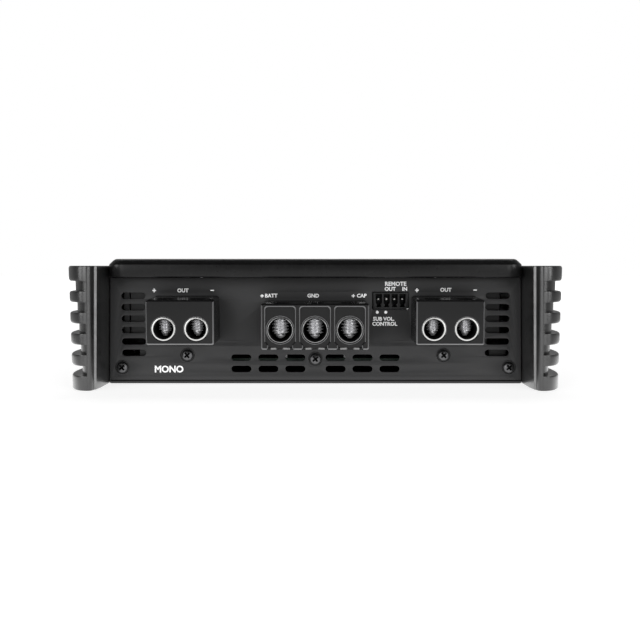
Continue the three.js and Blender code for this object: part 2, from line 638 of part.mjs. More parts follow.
function fanFrame() {
  const ring = cut(solid(box(-FAN.half, FAN.half, -FAN.depth, 0, -FAN.half, FAN.half)), [
    rod("y", FAN.bore, -FAN.depth - 1, 1, [0, 0], 28),
  ]);
  const backing = 1.6;
  const parts = [
    rod("y", FAN.hub - 0.5, -FAN.depth, -FAN.depth + backing, [0, 0], 20),
    rod("y", AXLE.radius, -FAN.depth, -FAN.depth + AXLE.length, [0, 0], 12),
  ];
  for (let i = 0; i < 3; i++) {
    const strut = box(0, FAN.bore + 1, -FAN.depth, -FAN.depth + backing, -1, 1);
    parts.push(strut.rotateY((i * 2 * Math.PI) / 3 + 0.4));
  }
  return ring.add(joined(parts));
}

function fanRotor() {
  const hubBack = -FAN.depth + 2.2;
  const parts = [rod("y", FAN.hub, hubBack, -0.8, [0, 0], 20)];
  const blades = 7;
  for (let i = 0; i < blades; i++) {
    const blade = box(FAN.hub - 1.5, FAN.blade, -0.4, 0.4, -3.6, 3.6);
    blade.rotateX(THREE.MathUtils.degToRad(48)).translate(0, (hubBack - 0.8) / 2, 0);
    parts.push(blade.rotateY((i * 2 * Math.PI) / blades));
  }
  const boreEnd = -FAN.depth + AXLE.length + GAP;
  return cut(joined(parts), [rod("y", AXLE.radius + GAP, hubBack - 1, boreEnd, [0, 0], 12)]);
}

const fanAt = [FAN.x, REAR.face - PANEL_SHEET - GAP, FAN.z + 3];
place("fan_frame", fanFrame(), MATERIAL.blockBlack, fanAt);
place("fan_rotor", fanRotor(), MATERIAL.blockBlack, fanAt);

// ---- Electronics -------------------------------------------------------------------------------------
const BOARD = { halfX: 93, front: -145.5, rear: 136 };

place(
  "main_board",
  box(-BOARD.halfX, BOARD.halfX, BOARD.front, BOARD.rear, BOARD_TOP - BOARD_SHEET, BOARD_TOP),
  MATERIAL.board,
);

// A wound ring core lying flat on the board.
function toroid(outer, inner, height) {
  const tube = (outer - inner) / 2;
  const half = height / 2;
  const profile = new THREE.Path();
  const round = Math.min(tube, half) * 0.45;
  profile.moveTo(inner + round, -half).lineTo(outer - round, -half);
  profile.quadraticCurveTo(outer, -half, outer, -half + round).lineTo(outer, half - round);
  profile.quadraticCurveTo(outer, half, outer - round, half).lineTo(inner + round, half);
  profile.quadraticCurveTo(inner, half, inner, half - round).lineTo(inner, -half + round);
  profile.quadraticCurveTo(inner, -half, inner + round, -half);
  const points = profile.getPoints(1);
  return new THREE.LatheGeometry(points, 20).rotateX(Math.PI / 2).translate(0, 0, half);
}

const onBoard = BOARD_TOP + GAP;
place("power_transformer", toroid(30, 12, 30), MATERIAL.winding, [-38, -70, onBoard]);
place("output_choke", toroid(22, 9, 24), MATERIAL.winding, [42, 40, onBoard]);
const canGeometry = rod("z", 9, 0, 33, [0, 0], 20);
place("reservoir_capacitor_1", canGeometry, MATERIAL.sleeveBlue, [18, -88, onBoard]);
place("reservoir_capacitor_2", canGeometry, MATERIAL.sleeveBlue, [40, -88, onBoard]);

// The bars that press the power transistors against the inner walls.
const CLAMP_BAR = { length: 150, thick: 7, low: BOARD_TOP + GAP, high: 34 };
for (const [name, side] of [["device_bar_left", -1], ["device_bar_right", 1]]) {
  const outer = spaceHalf(CLAMP_BAR.high) - GAP;
  const [halfX, halfY] = [CLAMP_BAR.thick / 2, CLAMP_BAR.length / 2];
  const bar = box(-halfX, halfX, -halfY, halfY, CLAMP_BAR.low, CLAMP_BAR.high);
  place(name, bar, MATERIAL.nickel, [side * (outer - CLAMP_BAR.thick / 2), 0, 0]);
}

amplifier.position.z = SUNK;

export default amplifier;
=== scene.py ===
"""Looks for a car amplifier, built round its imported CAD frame.

Shapes are written in millimetres and turned into metres when a mesh is made. Seen from the
terminal end, +X is right and +Y points away. +Z is up.
"""

import math

import bmesh
import bpy
from mathutils import Matrix, Vector


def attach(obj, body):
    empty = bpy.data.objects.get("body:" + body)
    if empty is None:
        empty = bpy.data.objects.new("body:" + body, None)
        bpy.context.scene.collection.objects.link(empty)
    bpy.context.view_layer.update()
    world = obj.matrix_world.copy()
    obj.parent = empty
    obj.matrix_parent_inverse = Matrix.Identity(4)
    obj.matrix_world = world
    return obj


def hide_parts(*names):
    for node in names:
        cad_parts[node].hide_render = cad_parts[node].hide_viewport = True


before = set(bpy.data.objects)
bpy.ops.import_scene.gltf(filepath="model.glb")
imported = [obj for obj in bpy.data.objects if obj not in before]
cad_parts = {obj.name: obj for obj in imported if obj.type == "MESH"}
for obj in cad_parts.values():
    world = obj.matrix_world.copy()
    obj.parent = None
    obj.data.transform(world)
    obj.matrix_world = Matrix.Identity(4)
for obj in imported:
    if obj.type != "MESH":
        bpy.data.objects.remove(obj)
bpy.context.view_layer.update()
MM = 0.001
CHASSIS = "amplifier"

HALF_LENGTH = 180.0
PANEL_Y = -155.0  # outer face of the terminal panel
REAR_Y = -PANEL_Y  # outer face of the signal panel
BLOCK_FRONT = PANEL_Y - 21.2
SCREW_Y = BLOCK_FRONT + 6
SPEAKER_AXIS, POWER_AXIS = 27.3, 26.8
SUNK = 0.7  # the foot of the side walls lies this far below the level that heights are taken from


# ---- materials
class Graph:
    """The node tree of a new material or world, filled with short calls."""

    def __init__(self, name, kind="materials"):
        self.owner = getattr(bpy.data, kind).new(name)
        self.owner.use_nodes = True
        self.tree = self.owner.node_tree
        self.tree.nodes.clear()
        self.coord = self.node("TexCoord", "Object")

    def node(self, kind, out=0, inputs=None, **settings):
        """Adds a node, sets or links its inputs and gives back one of its outputs."""
        made = self.tree.nodes.new("ShaderNode" + kind)
        for key, value in settings.items():
            setattr(made, key, value)
        for key, value in (inputs or {}).items():
            if isinstance(value, bpy.types.NodeSocket):
                self.tree.links.new(value, made.inputs[key])
            else:
                made.inputs[key].default_value = value
        return made.outputs[out] if made.outputs else None

    def noise(self, scale, detail=3.0, rough=0.5, stretch=None):
        vector = self.coord
        if stretch:
            vector = self.node("Mapping", inputs={"Vector": vector, "Scale": stretch})
        wanted = {"Vector": vector, "Scale": scale, "Detail": detail, "Roughness": rough}
        return self.node("TexNoise", inputs=wanted)

    def ramp(self, value, low, high, to_low=0.0, to_high=1.0, shape="LINEAR"):
        wanted = {0: value, 1: low, 2: high, 3: to_low, 4: to_high}
        return self.node("MapRange", inputs=wanted, clamp=True, interpolation_type=shape)

    def mix(self, factor, a, b):
        return self.node("Mix", 2, {0: factor, 6: a, 7: b}, data_type="RGBA")

    def math(self, operation, a, b):
        return self.node("Math", inputs={0: a, 1: b}, operation=operation)

    def turned_aside(self, vector):
        """How far a vector points along X, either way."""
        return self.math("ABSOLUTE", self.node("SeparateXYZ", inputs={0: vector}), 0.0)

    def finish(self, **inputs):
        names = {"color": "Base Color", "rough": "Roughness", "metal": "Metallic", "normal": "Normal"}
        names |= {"coat": "Coat Weight", "coat_rough": "Coat Roughness", "specular": "Specular IOR Level"}
        names |= {"glow": "Emission Strength", "glow_color": "Emission Color"}
        shader = self.node("BsdfPrincipled", inputs={names[k]: v for k, v in inputs.items()})
        self.node("OutputMaterial", inputs={"Surface": shader})
        return self.owner


COOL = 0.02  # paint and plastic are this much bluer than grey


def grey(value, tint=0.0):
    return (value, value, value * (1 + tint), 1.0)


def darker(color, share):
    return tuple(c * share for c in color[:3]) + (1.0,)


def coated(name, shade, rough, grain, bump, mottle=0.08, metal=0.0, coat=0.0, depth=0.0001, fleck=0.0,
           specular=0.5, side_specular=None):
    """Paint, powder coat or moulded plastic: fine grain, slow mottling and light flecks.

    side_specular is the reflection level of the surface where it turns to the sides."""
    g = Graph(name)
    fine = g.noise(grain, 4.0, 0.6)
    slow = g.noise(60.0, 3.0, 0.55)
    specks = g.noise(grain * 0.45, 2.0, 0.5)
    tone = g.ramp(slow, 0.3, 0.7)
    color = g.mix(tone, grey(shade * (1 - mottle), COOL), grey(shade * (1 + mottle), COOL))
    color = g.mix(g.ramp(specks, 0.55, 0.75, 0.0, fleck), color, grey(shade * 1.9, COOL))
    roughness = g.ramp(fine, 0.3, 0.7, rough - 0.03, rough + 0.03)
    bumped = g.node("Bump", inputs={"Height": fine, "Strength": bump, "Distance": depth})
    if side_specular:
        aside = g.turned_aside(g.node("NewGeometry", "Normal"))
        specular = g.ramp(aside, 0.25, 0.8, specular, side_specular)
    return g.finish(color=color, rough=roughness, metal=metal, normal=bumped, coat=coat, coat_rough=0.25,
                    specular=specular)


def metal(name, color, rough, stretch=(1, 1, 1), grain=900.0, dirt=0.25):
    """Plated or bare metal with fine drawing lines and slightly darker patches."""
    g = Graph(name)
    lines = g.noise(grain, 3.0, 0.6, stretch)
    patches = g.noise(220.0, 3.0, 0.6)
    tone = g.mix(g.ramp(patches, 0.35, 0.7), color, darker(color, 1 - dirt))
    roughness = g.ramp(lines, 0.3, 0.7, rough * 0.75, rough * 1.35)
    bumped = g.node("Bump", inputs={"Height": lines, "Strength": 0.05, "Distance": 0.0001})
    return g.finish(color=tone, rough=roughness, metal=1.0, normal=bumped)


def circuit_board():
    """Green solder mask over faint darker tracks."""
    g = Graph("solder_mask")
    brick = {"Vector": g.coord, "Scale": 140.0, "Mortar Size": 0.03, "Color1": grey(1), "Color2": grey(0.7)}
    tracks = g.node("TexBrick", inputs=brick)
    color = g.mix(tracks, (0.002, 0.011, 0.006, 1.0), (0.004, 0.022, 0.011, 1.0))
    bumped = g.node("Bump", inputs={"Height": tracks, "Strength": 0.2, "Distance": 0.0001})
    return g.finish(color=color, rough=g.ramp(g.noise(400.0), 0.3, 0.7, 0.45, 0.6), normal=bumped, coat=0.05)


def winding():
    """Enamelled copper wire: fine ridges across the piece."""
    g = Graph("wound_wire")
    ridges = {"Vector": g.coord, "Scale": 330.0, "Distortion": 1.2, "Detail": 2.0, "Detail Scale": 3.0}
    wave = g.node("TexWave", inputs=ridges, bands_direction="DIAGONAL")
    color = g.mix(wave, (0.16, 0.045, 0.012, 1.0), (0.62, 0.24, 0.08, 1.0))
    bumped = g.node("Bump", inputs={"Height": wave, "Strength": 0.8, "Distance": 0.0006})
    return g.finish(color=color, rough=0.35, metal=0.8, normal=bumped)


def printed_ink():
    g = Graph("printed_ink")
    fine = g.noise(1800.0, 2.0)
    color = g.mix(g.ramp(fine, 0.3, 0.7), grey(0.93), grey(0.99))
    return g.finish(color=color, rough=g.ramp(fine, 0.3, 0.7, 0.5, 0.7))


def glossy_tint(name, color, rough):
    g = Graph(name)
    fine = g.noise(700.0, 3.0)
    tone = g.mix(g.ramp(fine, 0.3, 0.7), darker(color, 0.7), color)
    return g.finish(color=tone, rough=g.ramp(fine, 0.3, 0.7, rough, rough + 0.12), coat=0.6, coat_rough=0.1)


MAT = {
    "cast": coated("cast_black", 0.0115, 0.3, 1500.0, 0.05, mottle=0.1, coat=0.4, specular=0.7),
    "cover": coated("cover_black", 0.006, 0.3, 1100.0, 0.12, mottle=0.15, depth=0.0002, fleck=0.5,
                    specular=0.2, side_specular=1.0),
    "panel": coated("panel_black", 0.033, 0.36, 1900.0, 0.04, mottle=0.04, specular=0.2),
    "plastic": coated("block_black", 0.0085, 0.22, 500.0, 0.004, specular=0.22),
    # painted highlight: a much lighter colour for the slanted strips at the blocks' edges, standing in for
    # the light they catch
    "edge": coated("block_edge", 0.12, 0.3, 500.0, 0.01),
    "gloss": coated("sill_black", 0.02, 0.13, 500.0, 0.004, specular=0.9),
    "plate": coated("inner_plate", 0.008, 0.4, 900.0, 0.05, mottle=0.1, depth=0.0002, specular=0.2),
    "plastic_dull": coated("header_black", 0.011, 0.45, 1500.0, 0.05, mottle=0.12, specular=0.25),
    # painted shade: a near-black, barely reflecting coat for the insides of bores and recesses
    "bore": coated("bore_shadow", 0.006, 0.6, 900.0, 0.05, mottle=0.1, specular=0.03),
    "ridge": metal("machined_edge", (0.2, 0.2, 0.2, 1.0), 0.36, (1, 1, 0.05), 1500.0),
    "nickel": metal("nickel", (0.6, 0.6, 0.59, 1.0), 0.38, dirt=0.06),
    "nickel_dull": metal("nickel_dull", (0.5, 0.5, 0.5, 1.0), 0.36, dirt=0.1),
    "steel": coated("steel", 0.62, 0.25, 900.0, 0.02, metal=0.7),
    "black_screw": metal("black_screw", (0.12, 0.12, 0.123, 1.0), 0.36, dirt=0.2),
    "tin": metal("tinned_pin", (0.85, 0.84, 0.8, 1.0), 0.25, dirt=0.1),
    "bar": metal("bar_aluminium", (0.7, 0.7, 0.71, 1.0), 0.35, (1, 0.05, 1), 1200.0),
    "knob": coated("knob_grey", 0.09, 0.45, 1600.0, 0.15, mottle=0.25, depth=0.0003),
    "lens": glossy_tint("lens_red", (0.45, 0.02, 0.015, 1.0), 0.12),
    "can": glossy_tint("can_blue", (0.012, 0.02, 0.06, 1.0), 0.3),
    "board": circuit_board(),
    "winding": winding(),
    "ink": printed_ink(),
}


# ---- mesh building
class Form:
    """Vertices and faces of one piece. Each face carries the index of its material."""

    def __init__(self):
        self.points, self.faces, self.marks = [], [], []

    def add(self, points, faces, marks=None):
        start = len(self.points)
        self.points += points
        self.faces += [[start + i for i in face] for face in faces]
        self.marks += marks or [0] * len(faces)
        return self

    def loft(self, rings, caps=True, marked=None):
        """Joins rings of equal point count. marked gives other materials to some of the strips."""
        count = len(rings[0])
        faces, marks = [], []
        for level in range(len(rings) - 1):
            a, b = level * count, (level + 1) * count
            for i in range(count):
                j = (i + 1) % count
                faces.append([a + i, a + j, b + j, b + i])
                marks.append((marked or {}).get(i, 0))
        if caps:
            last = (len(rings) - 1) * count
            faces += [list(reversed(range(count))), [last + i for i in range(count)]]
            marks += [0, 0]
        return self.add([point for ring in rings for point in ring], faces, marks)

    def lathe(self, profile, centre=(0, 0, 0), axis="z", segments=32, closed=False):
        """Turns (radius, height) pairs round an axis through centre."""
        rings = []
        for radius, height in profile + (profile[:1] if closed else []):
            ring = []
            for i in range(segments):
                angle = 2 * math.pi * i / segments
                u, v = radius * math.cos(angle), radius * math.sin(angle)
                spot = (u, v, height) if axis == "z" else (u, height, v)
                ring.append(tuple(s + c for s, c in zip(spot, centre)))
            rings.append(ring)
        return self.loft(rings, caps=False)

    def box(self, low, high, bevel=0.0):
        """A box between two corners with its upright and level edges bevelled."""
        (x0, y0, z0), (x1, y1, z1) = low, high
        steps = [(z0, 0), (z1, 0)]
        if bevel:
            steps = [(z0, bevel), (z0 + bevel, 0), (z1 - bevel, 0), (z1, bevel)]
        rings = []
        for z, inset in steps:
            a, b, c, d = x0 + inset, x1 - inset, y0 + inset, y1 - inset
            flat = [(a, c), (b, c), (b, d), (a, d)]
            if bevel:
                k = bevel
                flat = [(a + k, c), (b - k, c), (b, c + k), (b, d - k)]
                flat += [(b - k, d), (a + k, d), (a, d - k), (a, c + k)]
            rings.append([(x, y, z) for x, y in flat])
        return self.loft(rings)


def linked(name, data):
    """A new object in the scene, holding a mesh, a curve or a light."""
    made = bpy.data.objects.new(name, data)
    bpy.context.scene.collection.objects.link(made)
    return made


def welded(mesh, reach, dissolve=False):
    work = bmesh.new()
    work.from_mesh(mesh)
    bmesh.ops.remove_doubles(work, verts=work.verts, dist=reach)
    if dissolve:
        bmesh.ops.dissolve_degenerate(work, dist=1e-7, edges=work.edges)
    bmesh.ops.recalc_face_normals(work, faces=work.faces)
    work.to_mesh(mesh)
    work.free()
    return mesh


def to_mesh(name, form):
    mesh = bpy.data.meshes.new(name)
    mesh.from_pydata([(x * MM, y * MM, (z + SUNK) * MM) for x, y, z in form.points], [], form.faces)
    mesh.polygons.foreach_set("material_index", form.marks)
    return welded(mesh, 4e-6, dissolve=True)


def plain_object(name, form):
    return linked(name, to_mesh(name, form))


def baked(obj):
    """The object's mesh with its modifiers applied."""
    bpy.context.view_layer.update()
    graph = bpy.context.evaluated_depsgraph_get()
    return bpy.data.meshes.new_from_object(obj.evaluated_get(graph))


def baked_curve(name, curve):
    """The mesh that a curve or a text gives."""
    holder = linked(name, curve)
    mesh = baked(holder)
    bpy.data.objects.remove(holder)
    return mesh


def carve(obj, cutters):
    """Cuts forms out of an object, one after another."""
    tools = [plain_object(f"{obj.name}_tool{i}", cutter) for i, cutter in enumerate(cutters)]
    for tool in tools:
        step = obj.modifiers.new("cut", "BOOLEAN")
        step.operation, step.solver, step.object = "DIFFERENCE", "EXACT", tool
    mesh = baked(obj)
    obj.modifiers.clear()
    obj.data = mesh
    for tool in tools:
        bpy.data.objects.remove(tool)
    return obj


def absorb(obj, mesh):
    """Adds another mesh to an object's own."""
    work = bmesh.new()
    work.from_mesh(obj.data)
    work.from_mesh(mesh)
    work.to_mesh(obj.data)
    work.free()
    return obj


def join_form(obj, form):
    return absorb(obj, to_mesh(obj.name + "_extra", form))


def join_object(obj, other):
    """Adds another object's mesh to obj and drops that object."""
    absorb(obj, other.data)
    bpy.data.objects.remove(other)
    return obj


def dress(obj, materials, replaces=None, body=CHASSIS, angle=32):
    """Shading, finish and place in the frame for a new piece."""
    mesh = obj.data
    marks = [0] * len(mesh.polygons)
    mesh.polygons.foreach_get("material_index", marks)
    mesh.materials.clear()
    for key in [materials] if isinstance(materials, str) else materials:
        mesh.materials.append(MAT[key])
    mesh.polygons.foreach_set("material_index", marks)
    mesh.polygons.foreach_set("use_smooth", [True] * len(mesh.polygons))
    mesh.set_sharp_from_angle(angle=math.radians(angle))
    mesh.update()
    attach(obj, body)
    if replaces:
        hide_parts(replaces)
    return obj


def piece(node, form, materials, cutters=(), body=CHASSIS, angle=32):
    """The look of one CAD node, in that node's place."""
    obj = plain_object("look_" + node, form)
    if cutters:
        carve(obj, cutters)
    return dress(obj, materials, node, body, angle)


# ---- outlines
def arc(cx, cy, rx, ry, start, stop, steps):
    """Points on part of an ellipse, both ends included, angles in degrees."""
    made = []
    for i in range(steps + 1):
        angle = math.radians(start + (stop - start) * i / steps)
        made.append((cx + rx * math.cos(angle), cy + ry * math.sin(angle)))
    return made


def rounded(x0, x1, y0, y1, radius, steps=5):
    """A rectangle with round corners, from the low-x low-y corner round."""
    made = arc(x0 + radius, y0 + radius, radius, radius, 180, 270, steps)
    made += arc(x1 - radius, y0 + radius, radius, radius, 270, 360, steps)
    made += arc(x1 - radius, y1 - radius, radius, radius, 0, 90, steps)
    return made + arc(x0 + radius, y1 - radius, radius, radius, 90, 180, steps)


def oblong(x, z, length, height, steps=8):
    radius = height / 2
    reach = length / 2 - radius
    made = arc(x + reach, z, radius, radius, -90, 90, steps)
    return made + arc(x - reach, z, radius, radius, 90, 270, steps)


def circle(x, z, radius, steps=28):
    return arc(x, z, radius, radius, 0, 360 - 360 / steps, steps - 1)


def pierced(name, outer, holes, back, front, bevel):
    """A sheet in the X-Z plane from y = back to y = front with bevelled rims, outer edge and holes alike."""
    curve = bpy.data.curves.new(name, "CURVE")
    curve.dimensions, curve.fill_mode = "2D", "BOTH"
    for ring in [outer, *holes]:
        spline = curve.splines.new("POLY")
        spline.points.add(len(ring) - 1)
        for point, (x, z) in zip(spline.points, ring):
            point.co = (x * MM, z * MM, 0, 1)
        spline.use_cyclic_u = True
    thick = abs(back - front)
    curve.extrude, curve.bevel_depth = (thick / 2 - bevel) * MM, bevel * MM
    curve.bevel_resolution, curve.offset = 1, -bevel * MM
    mesh = baked_curve(name, curve)
    middle = (back + front) / 2 * MM
    mesh.transform(Matrix(((1, 0, 0, 0), (0, 0, -1, middle), (0, 1, 0, SUNK * MM), (0, 0, 0, 1))))
    return linked(name, welded(mesh, 1e-6))


# ---- side heat sinks
SINK_HEIGHT = 56.25
FINS, FIN_PITCH, SLOT = 6, 9.65, 4.75
FIRST_SLOT_TOP, SLOT_DEPTH = 49.3, 6.5
FIN_EDGE, FOOT_EDGE = 1.15, 0.6  # radius of the fins' long edges, and of the lowest one
TAPER, TAPER_X = 0.13, 108.0  # each side narrows towards its foot by this share, about this X
INNER_X, TIP_X, OUTER_X = 99.0, 103.2, 116.8
CORE_X, CORE_STEP = 114.4, 0.7  # the bottom of the top slot, and how far each lower one lies inward
NOSE_DEPTH = HALF_LENGTH + PANEL_Y
GAP = 0.4  # between a side wall and what stands between the walls
INNER_EDGE = 1  # the point of the plan where the machined edge starts


def tapered(x, z):
    return TAPER_X + (x - TAPER_X) * (1 - TAPER * (SINK_HEIGHT - z) / SINK_HEIGHT)


def inner_wall(z):
    return tapered(INNER_X, z)


def sink_ring(z, outer, cut=0.0, inset=0.0, rim=0.0):
    """The right-hand sink's plan at one height.

    cut moves the part beyond the tip back for a slot, inset rounds a fin's edge there, and rim
    rounds the ends of the whole sink."""
    tip = -HALF_LENGTH
    front = [(INNER_X + rim, tip + 10), (99.7 + rim, tip + 4.6), (100.75, tip + 4 + rim)]
    front += arc(TIP_X, tip + 4, 2.5, 4 - rim, 180, 262, 6)
    front += [(TIP_X, tip + rim), (TIP_X, tip + max(cut, rim))]
    steps, full = 16, 12  # the edge is fully round from the twelfth step on
    for i in range(1, steps + 1):
        angle = math.radians(-90 + 90 * i / steps)
        ease = min(1.0, i / full) ** 2
        rx = outer - TIP_X - inset * ease
        ry = NOSE_DEPTH - (cut or inset * ease + rim * (1 - ease))
        front.append((TIP_X + rx * math.cos(angle), PANEL_Y + ry * math.sin(angle)))
    rear = [(x, -y) for x, y in reversed(front)]
    return [(tapered(x, z), y, z) for x, y in front + rear]


def fin_edge(z, way, radius, rim):
    """The rings of one rounded edge of a fin, from its face at z on, way being up or down."""
    rings = []
    for k in range(4):
        share = math.sin(math.radians(30 * k))
        level = z + way * radius * (1 - math.cos(math.radians(30 * k)))
        rings.append(sink_ring(level, OUTER_X, inset=radius * (1 - share), rim=rim * (1 - share)))
    return rings


def heat_sink(side, name):
    rings = []
    for i in reversed(range(FINS)):
        lowest, highest = i == FINS - 1, i == 0
        low = -SUNK if lowest else FIRST_SLOT_TOP - i * FIN_PITCH
        high = SINK_HEIGHT if highest else FIRST_SLOT_TOP - (i - 1) * FIN_PITCH - SLOT
        rings += fin_edge(low, 1, FOOT_EDGE if lowest else FIN_EDGE, 0.35 if lowest else 0.0)
        rings += reversed(fin_edge(high, -1, FIN_EDGE, 0.45 if highest else 0.0))
        if not highest:
            core = CORE_X - (i - 1) * CORE_STEP
            rings += [sink_ring(high, core, cut=SLOT_DEPTH), sink_ring(high + SLOT, core, cut=SLOT_DEPTH)]
    other_edge = len(rings[0]) - 2 - INNER_EDGE
    rings = [[(side * x, y, z) for x, y, z in ring] for ring in rings]
    form = Form().loft(rings, marked={INNER_EDGE: 1, other_edge: 1})
    piece(name, form, ["cast", "ridge"], angle=28)


heat_sink(-1, "heatsink_left")
heat_sink(1, "heatsink_right")


# ---- cover and base
def cover():
    half_x, half_y, corner = 98.2, REAR_Y + 12, 9.0
    low, foot, top = 50.8, 56.9, 59.5
    under, under_inset, under_corner = 56.2, 4.0, 3.0
    bevel = top - foot

    def ring(z, inset, radius=None):
        flat = rounded(-half_x + inset, half_x - inset, -half_y + inset, half_y - inset,
                       radius or max(0.4, corner - inset), 10)
        return [(x, y, z) for x, y in flat]

    profile = [(low, 0.9), (low + 0.12, 0.45), (low + 0.45, 0.12), (low + 0.9, 0.0)]
    profile += [(foot - 0.5, 0.0), (foot - 0.15, 0.06), (foot + 0.25, 0.35)]
    profile += [(top - 0.9, bevel - 0.75), (top - 0.4, bevel - 0.15), (top - 0.12, bevel + 0.5)]
    profile.append((top, bevel + 1.3))
    rings = [ring(z, under_inset, under_corner) for z in (under, low)]
    rings += [ring(*step) for step in profile]
    piece("top_cover", Form().loft(rings), "cover", angle=24)


def base():
    """The base sheet with the nine posts that carry the board."""
    half = inner_wall(-SUNK) - GAP
    form = Form().box((-half, PANEL_Y, -SUNK), (half, REAR_Y, 1.4 - SUNK), 0.3)
    for x in (-85, 0, 85):
        for y in (-132, 0, 125):
            form.lathe([(0, 0.5), (3, 0.5), (3, 8.3), (2.6, 8.7), (0, 8.7)], (x, y, 0), segments=12)
    piece("bottom_plate", form, "panel")


cover()
base()


# ---- end panels
PANEL_LOW, PANEL_HIGH, SHEET, SHEET_EDGE = 1.0, 50.5, 1.5, 0.18
CORNER_SCREW, BLOCK_SCREW, POWER_SCREW = (93.6, 7.15), (62.0, 13.1), (0.0, 11.3)
RCA_SPOTS = ((-71.0, 27.0), (-53.0, 27.0))
KNOB_X = {"level_knob": -26.0, "low_pass_knob": -8.0, "bass_knob": 10.0}
CONTROL_Z = 29.0
SWITCH_X, LENS_X = 28.0, 40.0
FAN_X, FAN_Z = 72.0, 30.0


def both_sides(spot):
    x, z = spot
    return [(-x, z), (x, z)]


def panel(name, holes, spots, face, way):
    """An end panel with its holes and a dish for each screw. way points into the case."""
    low, high = inner_wall(PANEL_LOW) - GAP, inner_wall(PANEL_HIGH) - GAP
    outline = [(-low, PANEL_LOW), (low, PANEL_LOW), (high, PANEL_HIGH), (-high, PANEL_HIGH)]
    holes += [circle(x, z, 3.6) for x, z in spots]
    made = pierced("look_" + name, outline, holes, face + way * SHEET, face, SHEET_EDGE)
    for x, z in spots:
        join_form(made, dimple(x, z, face, way))
    dress(made, "panel", name)


def dimple(x, z, face, way):
    """The pressed dish that a screw head sits in, with a hole for its shank."""
    rows = [(3.75, 0.02), (3.45, -0.02), (3.1, 0.42), (1.9, 0.5), (1.9, 1.2), (3.2, 1.2), (3.75, 0.9)]
    profile = [(radius, face + way * depth) for radius, depth in rows]
    return Form().lathe(profile, (x, 0, z), "y", 32, closed=True)


def front_panel():
    holes = []
    for side in (-1, 1):
        holes += [oblong(side * 87.8, 14.2 + i * 5.53, 11.7, 3.1) for i in range(6)]
        holes += [oblong(side * x, z, 9.7, 3.1) for x in (9.75, 22.8, 35.9) for z in (6.35, 11.85)]
        holes.append(rounded(side * 62 - 14.9, side * 62 + 14.9, 20.7, 40.3, 0.5, 2))
    holes.append(rounded(-24.1, 24.1, 19.1, 38.5, 0.5, 2))
    holes.append(rounded(27.5, 44.9, 35.3, 43.7, 0.4, 2))
    spots = both_sides(CORNER_SCREW) + both_sides(BLOCK_SCREW) + [POWER_SCREW]
    panel("front_panel", holes, spots, PANEL_Y, 1)


def rear_panel():
    holes = [circle(x, z, 5.55) for x, z in RCA_SPOTS]
    holes += [circle(x, CONTROL_Z, 3.5) for x in KNOB_X.values()]
    holes.append(rounded(SWITCH_X - 1.9, SWITCH_X + 4.9, CONTROL_Z - 1.5, CONTROL_Z + 1.5, 0.3, 2))
    holes.append(circle(LENS_X, CONTROL_Z, 1.8, 16))
    holes += [oblong(FAN_X, 27 + (i - 2.5) * 5.5, 32, 2.9) for i in range(6)]
    panel("rear_panel", holes, both_sides(CORNER_SCREW), REAR_Y, -1)


def vent_screen(name, finish, plates):
    """The plates that stand just behind the side slots, each from x0 to x1 and from z0 to z1."""
    form = Form()
    for x0, x1, z0, z1 in plates:
        form.box((x0, PANEL_Y + 4.2, z0), (x1, PANEL_Y + 5.4, z1), 0.25)
    dress(plain_object(name, form), finish)


front_panel()
rear_panel()
# The left and right plates are alike, but the left ones take the lighter panel paint and the right ones the
# dark inner plate paint: painted light and shade.
left_plates = (-93.4, -90.6, 23.0, 49.5), (-90.1, -80.0, 23.0, 49.5), (-86.0, -80.0, 12.0, 17.0)
vent_screen("vent_screen_left", "panel", left_plates)
vent_screen("vent_screen_right", "plate", ((79.0, 89.8, 23.0, 49.5), (84.6, 93.2, 12.0, 18.0)))


# ---- panel screws
CROSS_TURN = 40  # degrees, as the crosses stand in the picture
SCREW_SINK = 0.3  # how far a head's base lies below the face of the panel


def pan_screw(name, spot, face, way):
    """A pan head with a cross recess. way is +1 when the shank points to +Y."""
    x, z = spot
    face += way * SCREW_SINK
    rows = [(0, -1.75), (0.9, -1.72), (1.7, -1.55), (2.3, -1.2), (2.66, -0.75), (2.75, -0.3), (2.75, 0.2)]
    rows += [(2.6, 0.35), (1.5, 0.38)]
    for i in range(10):
        rows += [(1.5, 0.6 + i * 0.62), (1.2, 0.9 + i * 0.62)]
    rows += [(0.7, 6.9), (0, 7.0)]
    form = Form().lathe([(r, face + way * h) for r, h in rows], (x, 0, z), "y", 32)
    cutters = []
    for turn in (CROSS_TURN, CROSS_TURN + 90):
        c, s = math.cos(math.radians(turn)), math.sin(math.radians(turn))
        rings = []
        for depth, wide, tall in ((-2.2, 2.0, 0.52), (-0.2, 0.8, 0.3)):
            corners = [(-wide, -tall), (wide, -tall), (wide, tall), (-wide, tall)]
            rings.append([(x + u * c - v * s, face + way * depth, z + u * s + v * c) for u, v in corners])
        cutters.append(Form().loft(rings))
    obj = carve(plain_object("look_" + name, form), cutters)
    # faces of the cross recess below its mouth, and the shank, take the bore colour: painted shade
    for polygon in obj.data.polygons:
        deep = way * (polygon.center.y / MM - face)
        aside = math.hypot(polygon.center.x / MM - x, polygon.center.z / MM - SUNK - z)
        if deep > -1.45 and aside < 1.6:
            polygon.material_index = 1
    dress(obj, ["black_screw", "bore"], name)


for prefix, spot, face, way in (
    ("corner_screw", CORNER_SCREW, PANEL_Y, 1), ("block_screw", BLOCK_SCREW, PANEL_Y, 1),
    ("rear_screw", CORNER_SCREW, REAR_Y, -1),
):
    for side, place in zip(("left", "right"), both_sides(spot)):
        pan_screw(f"{prefix}_{side}", place, face, way)
pan_screw("block_screw_power", POWER_SCREW, PANEL_Y, 1)


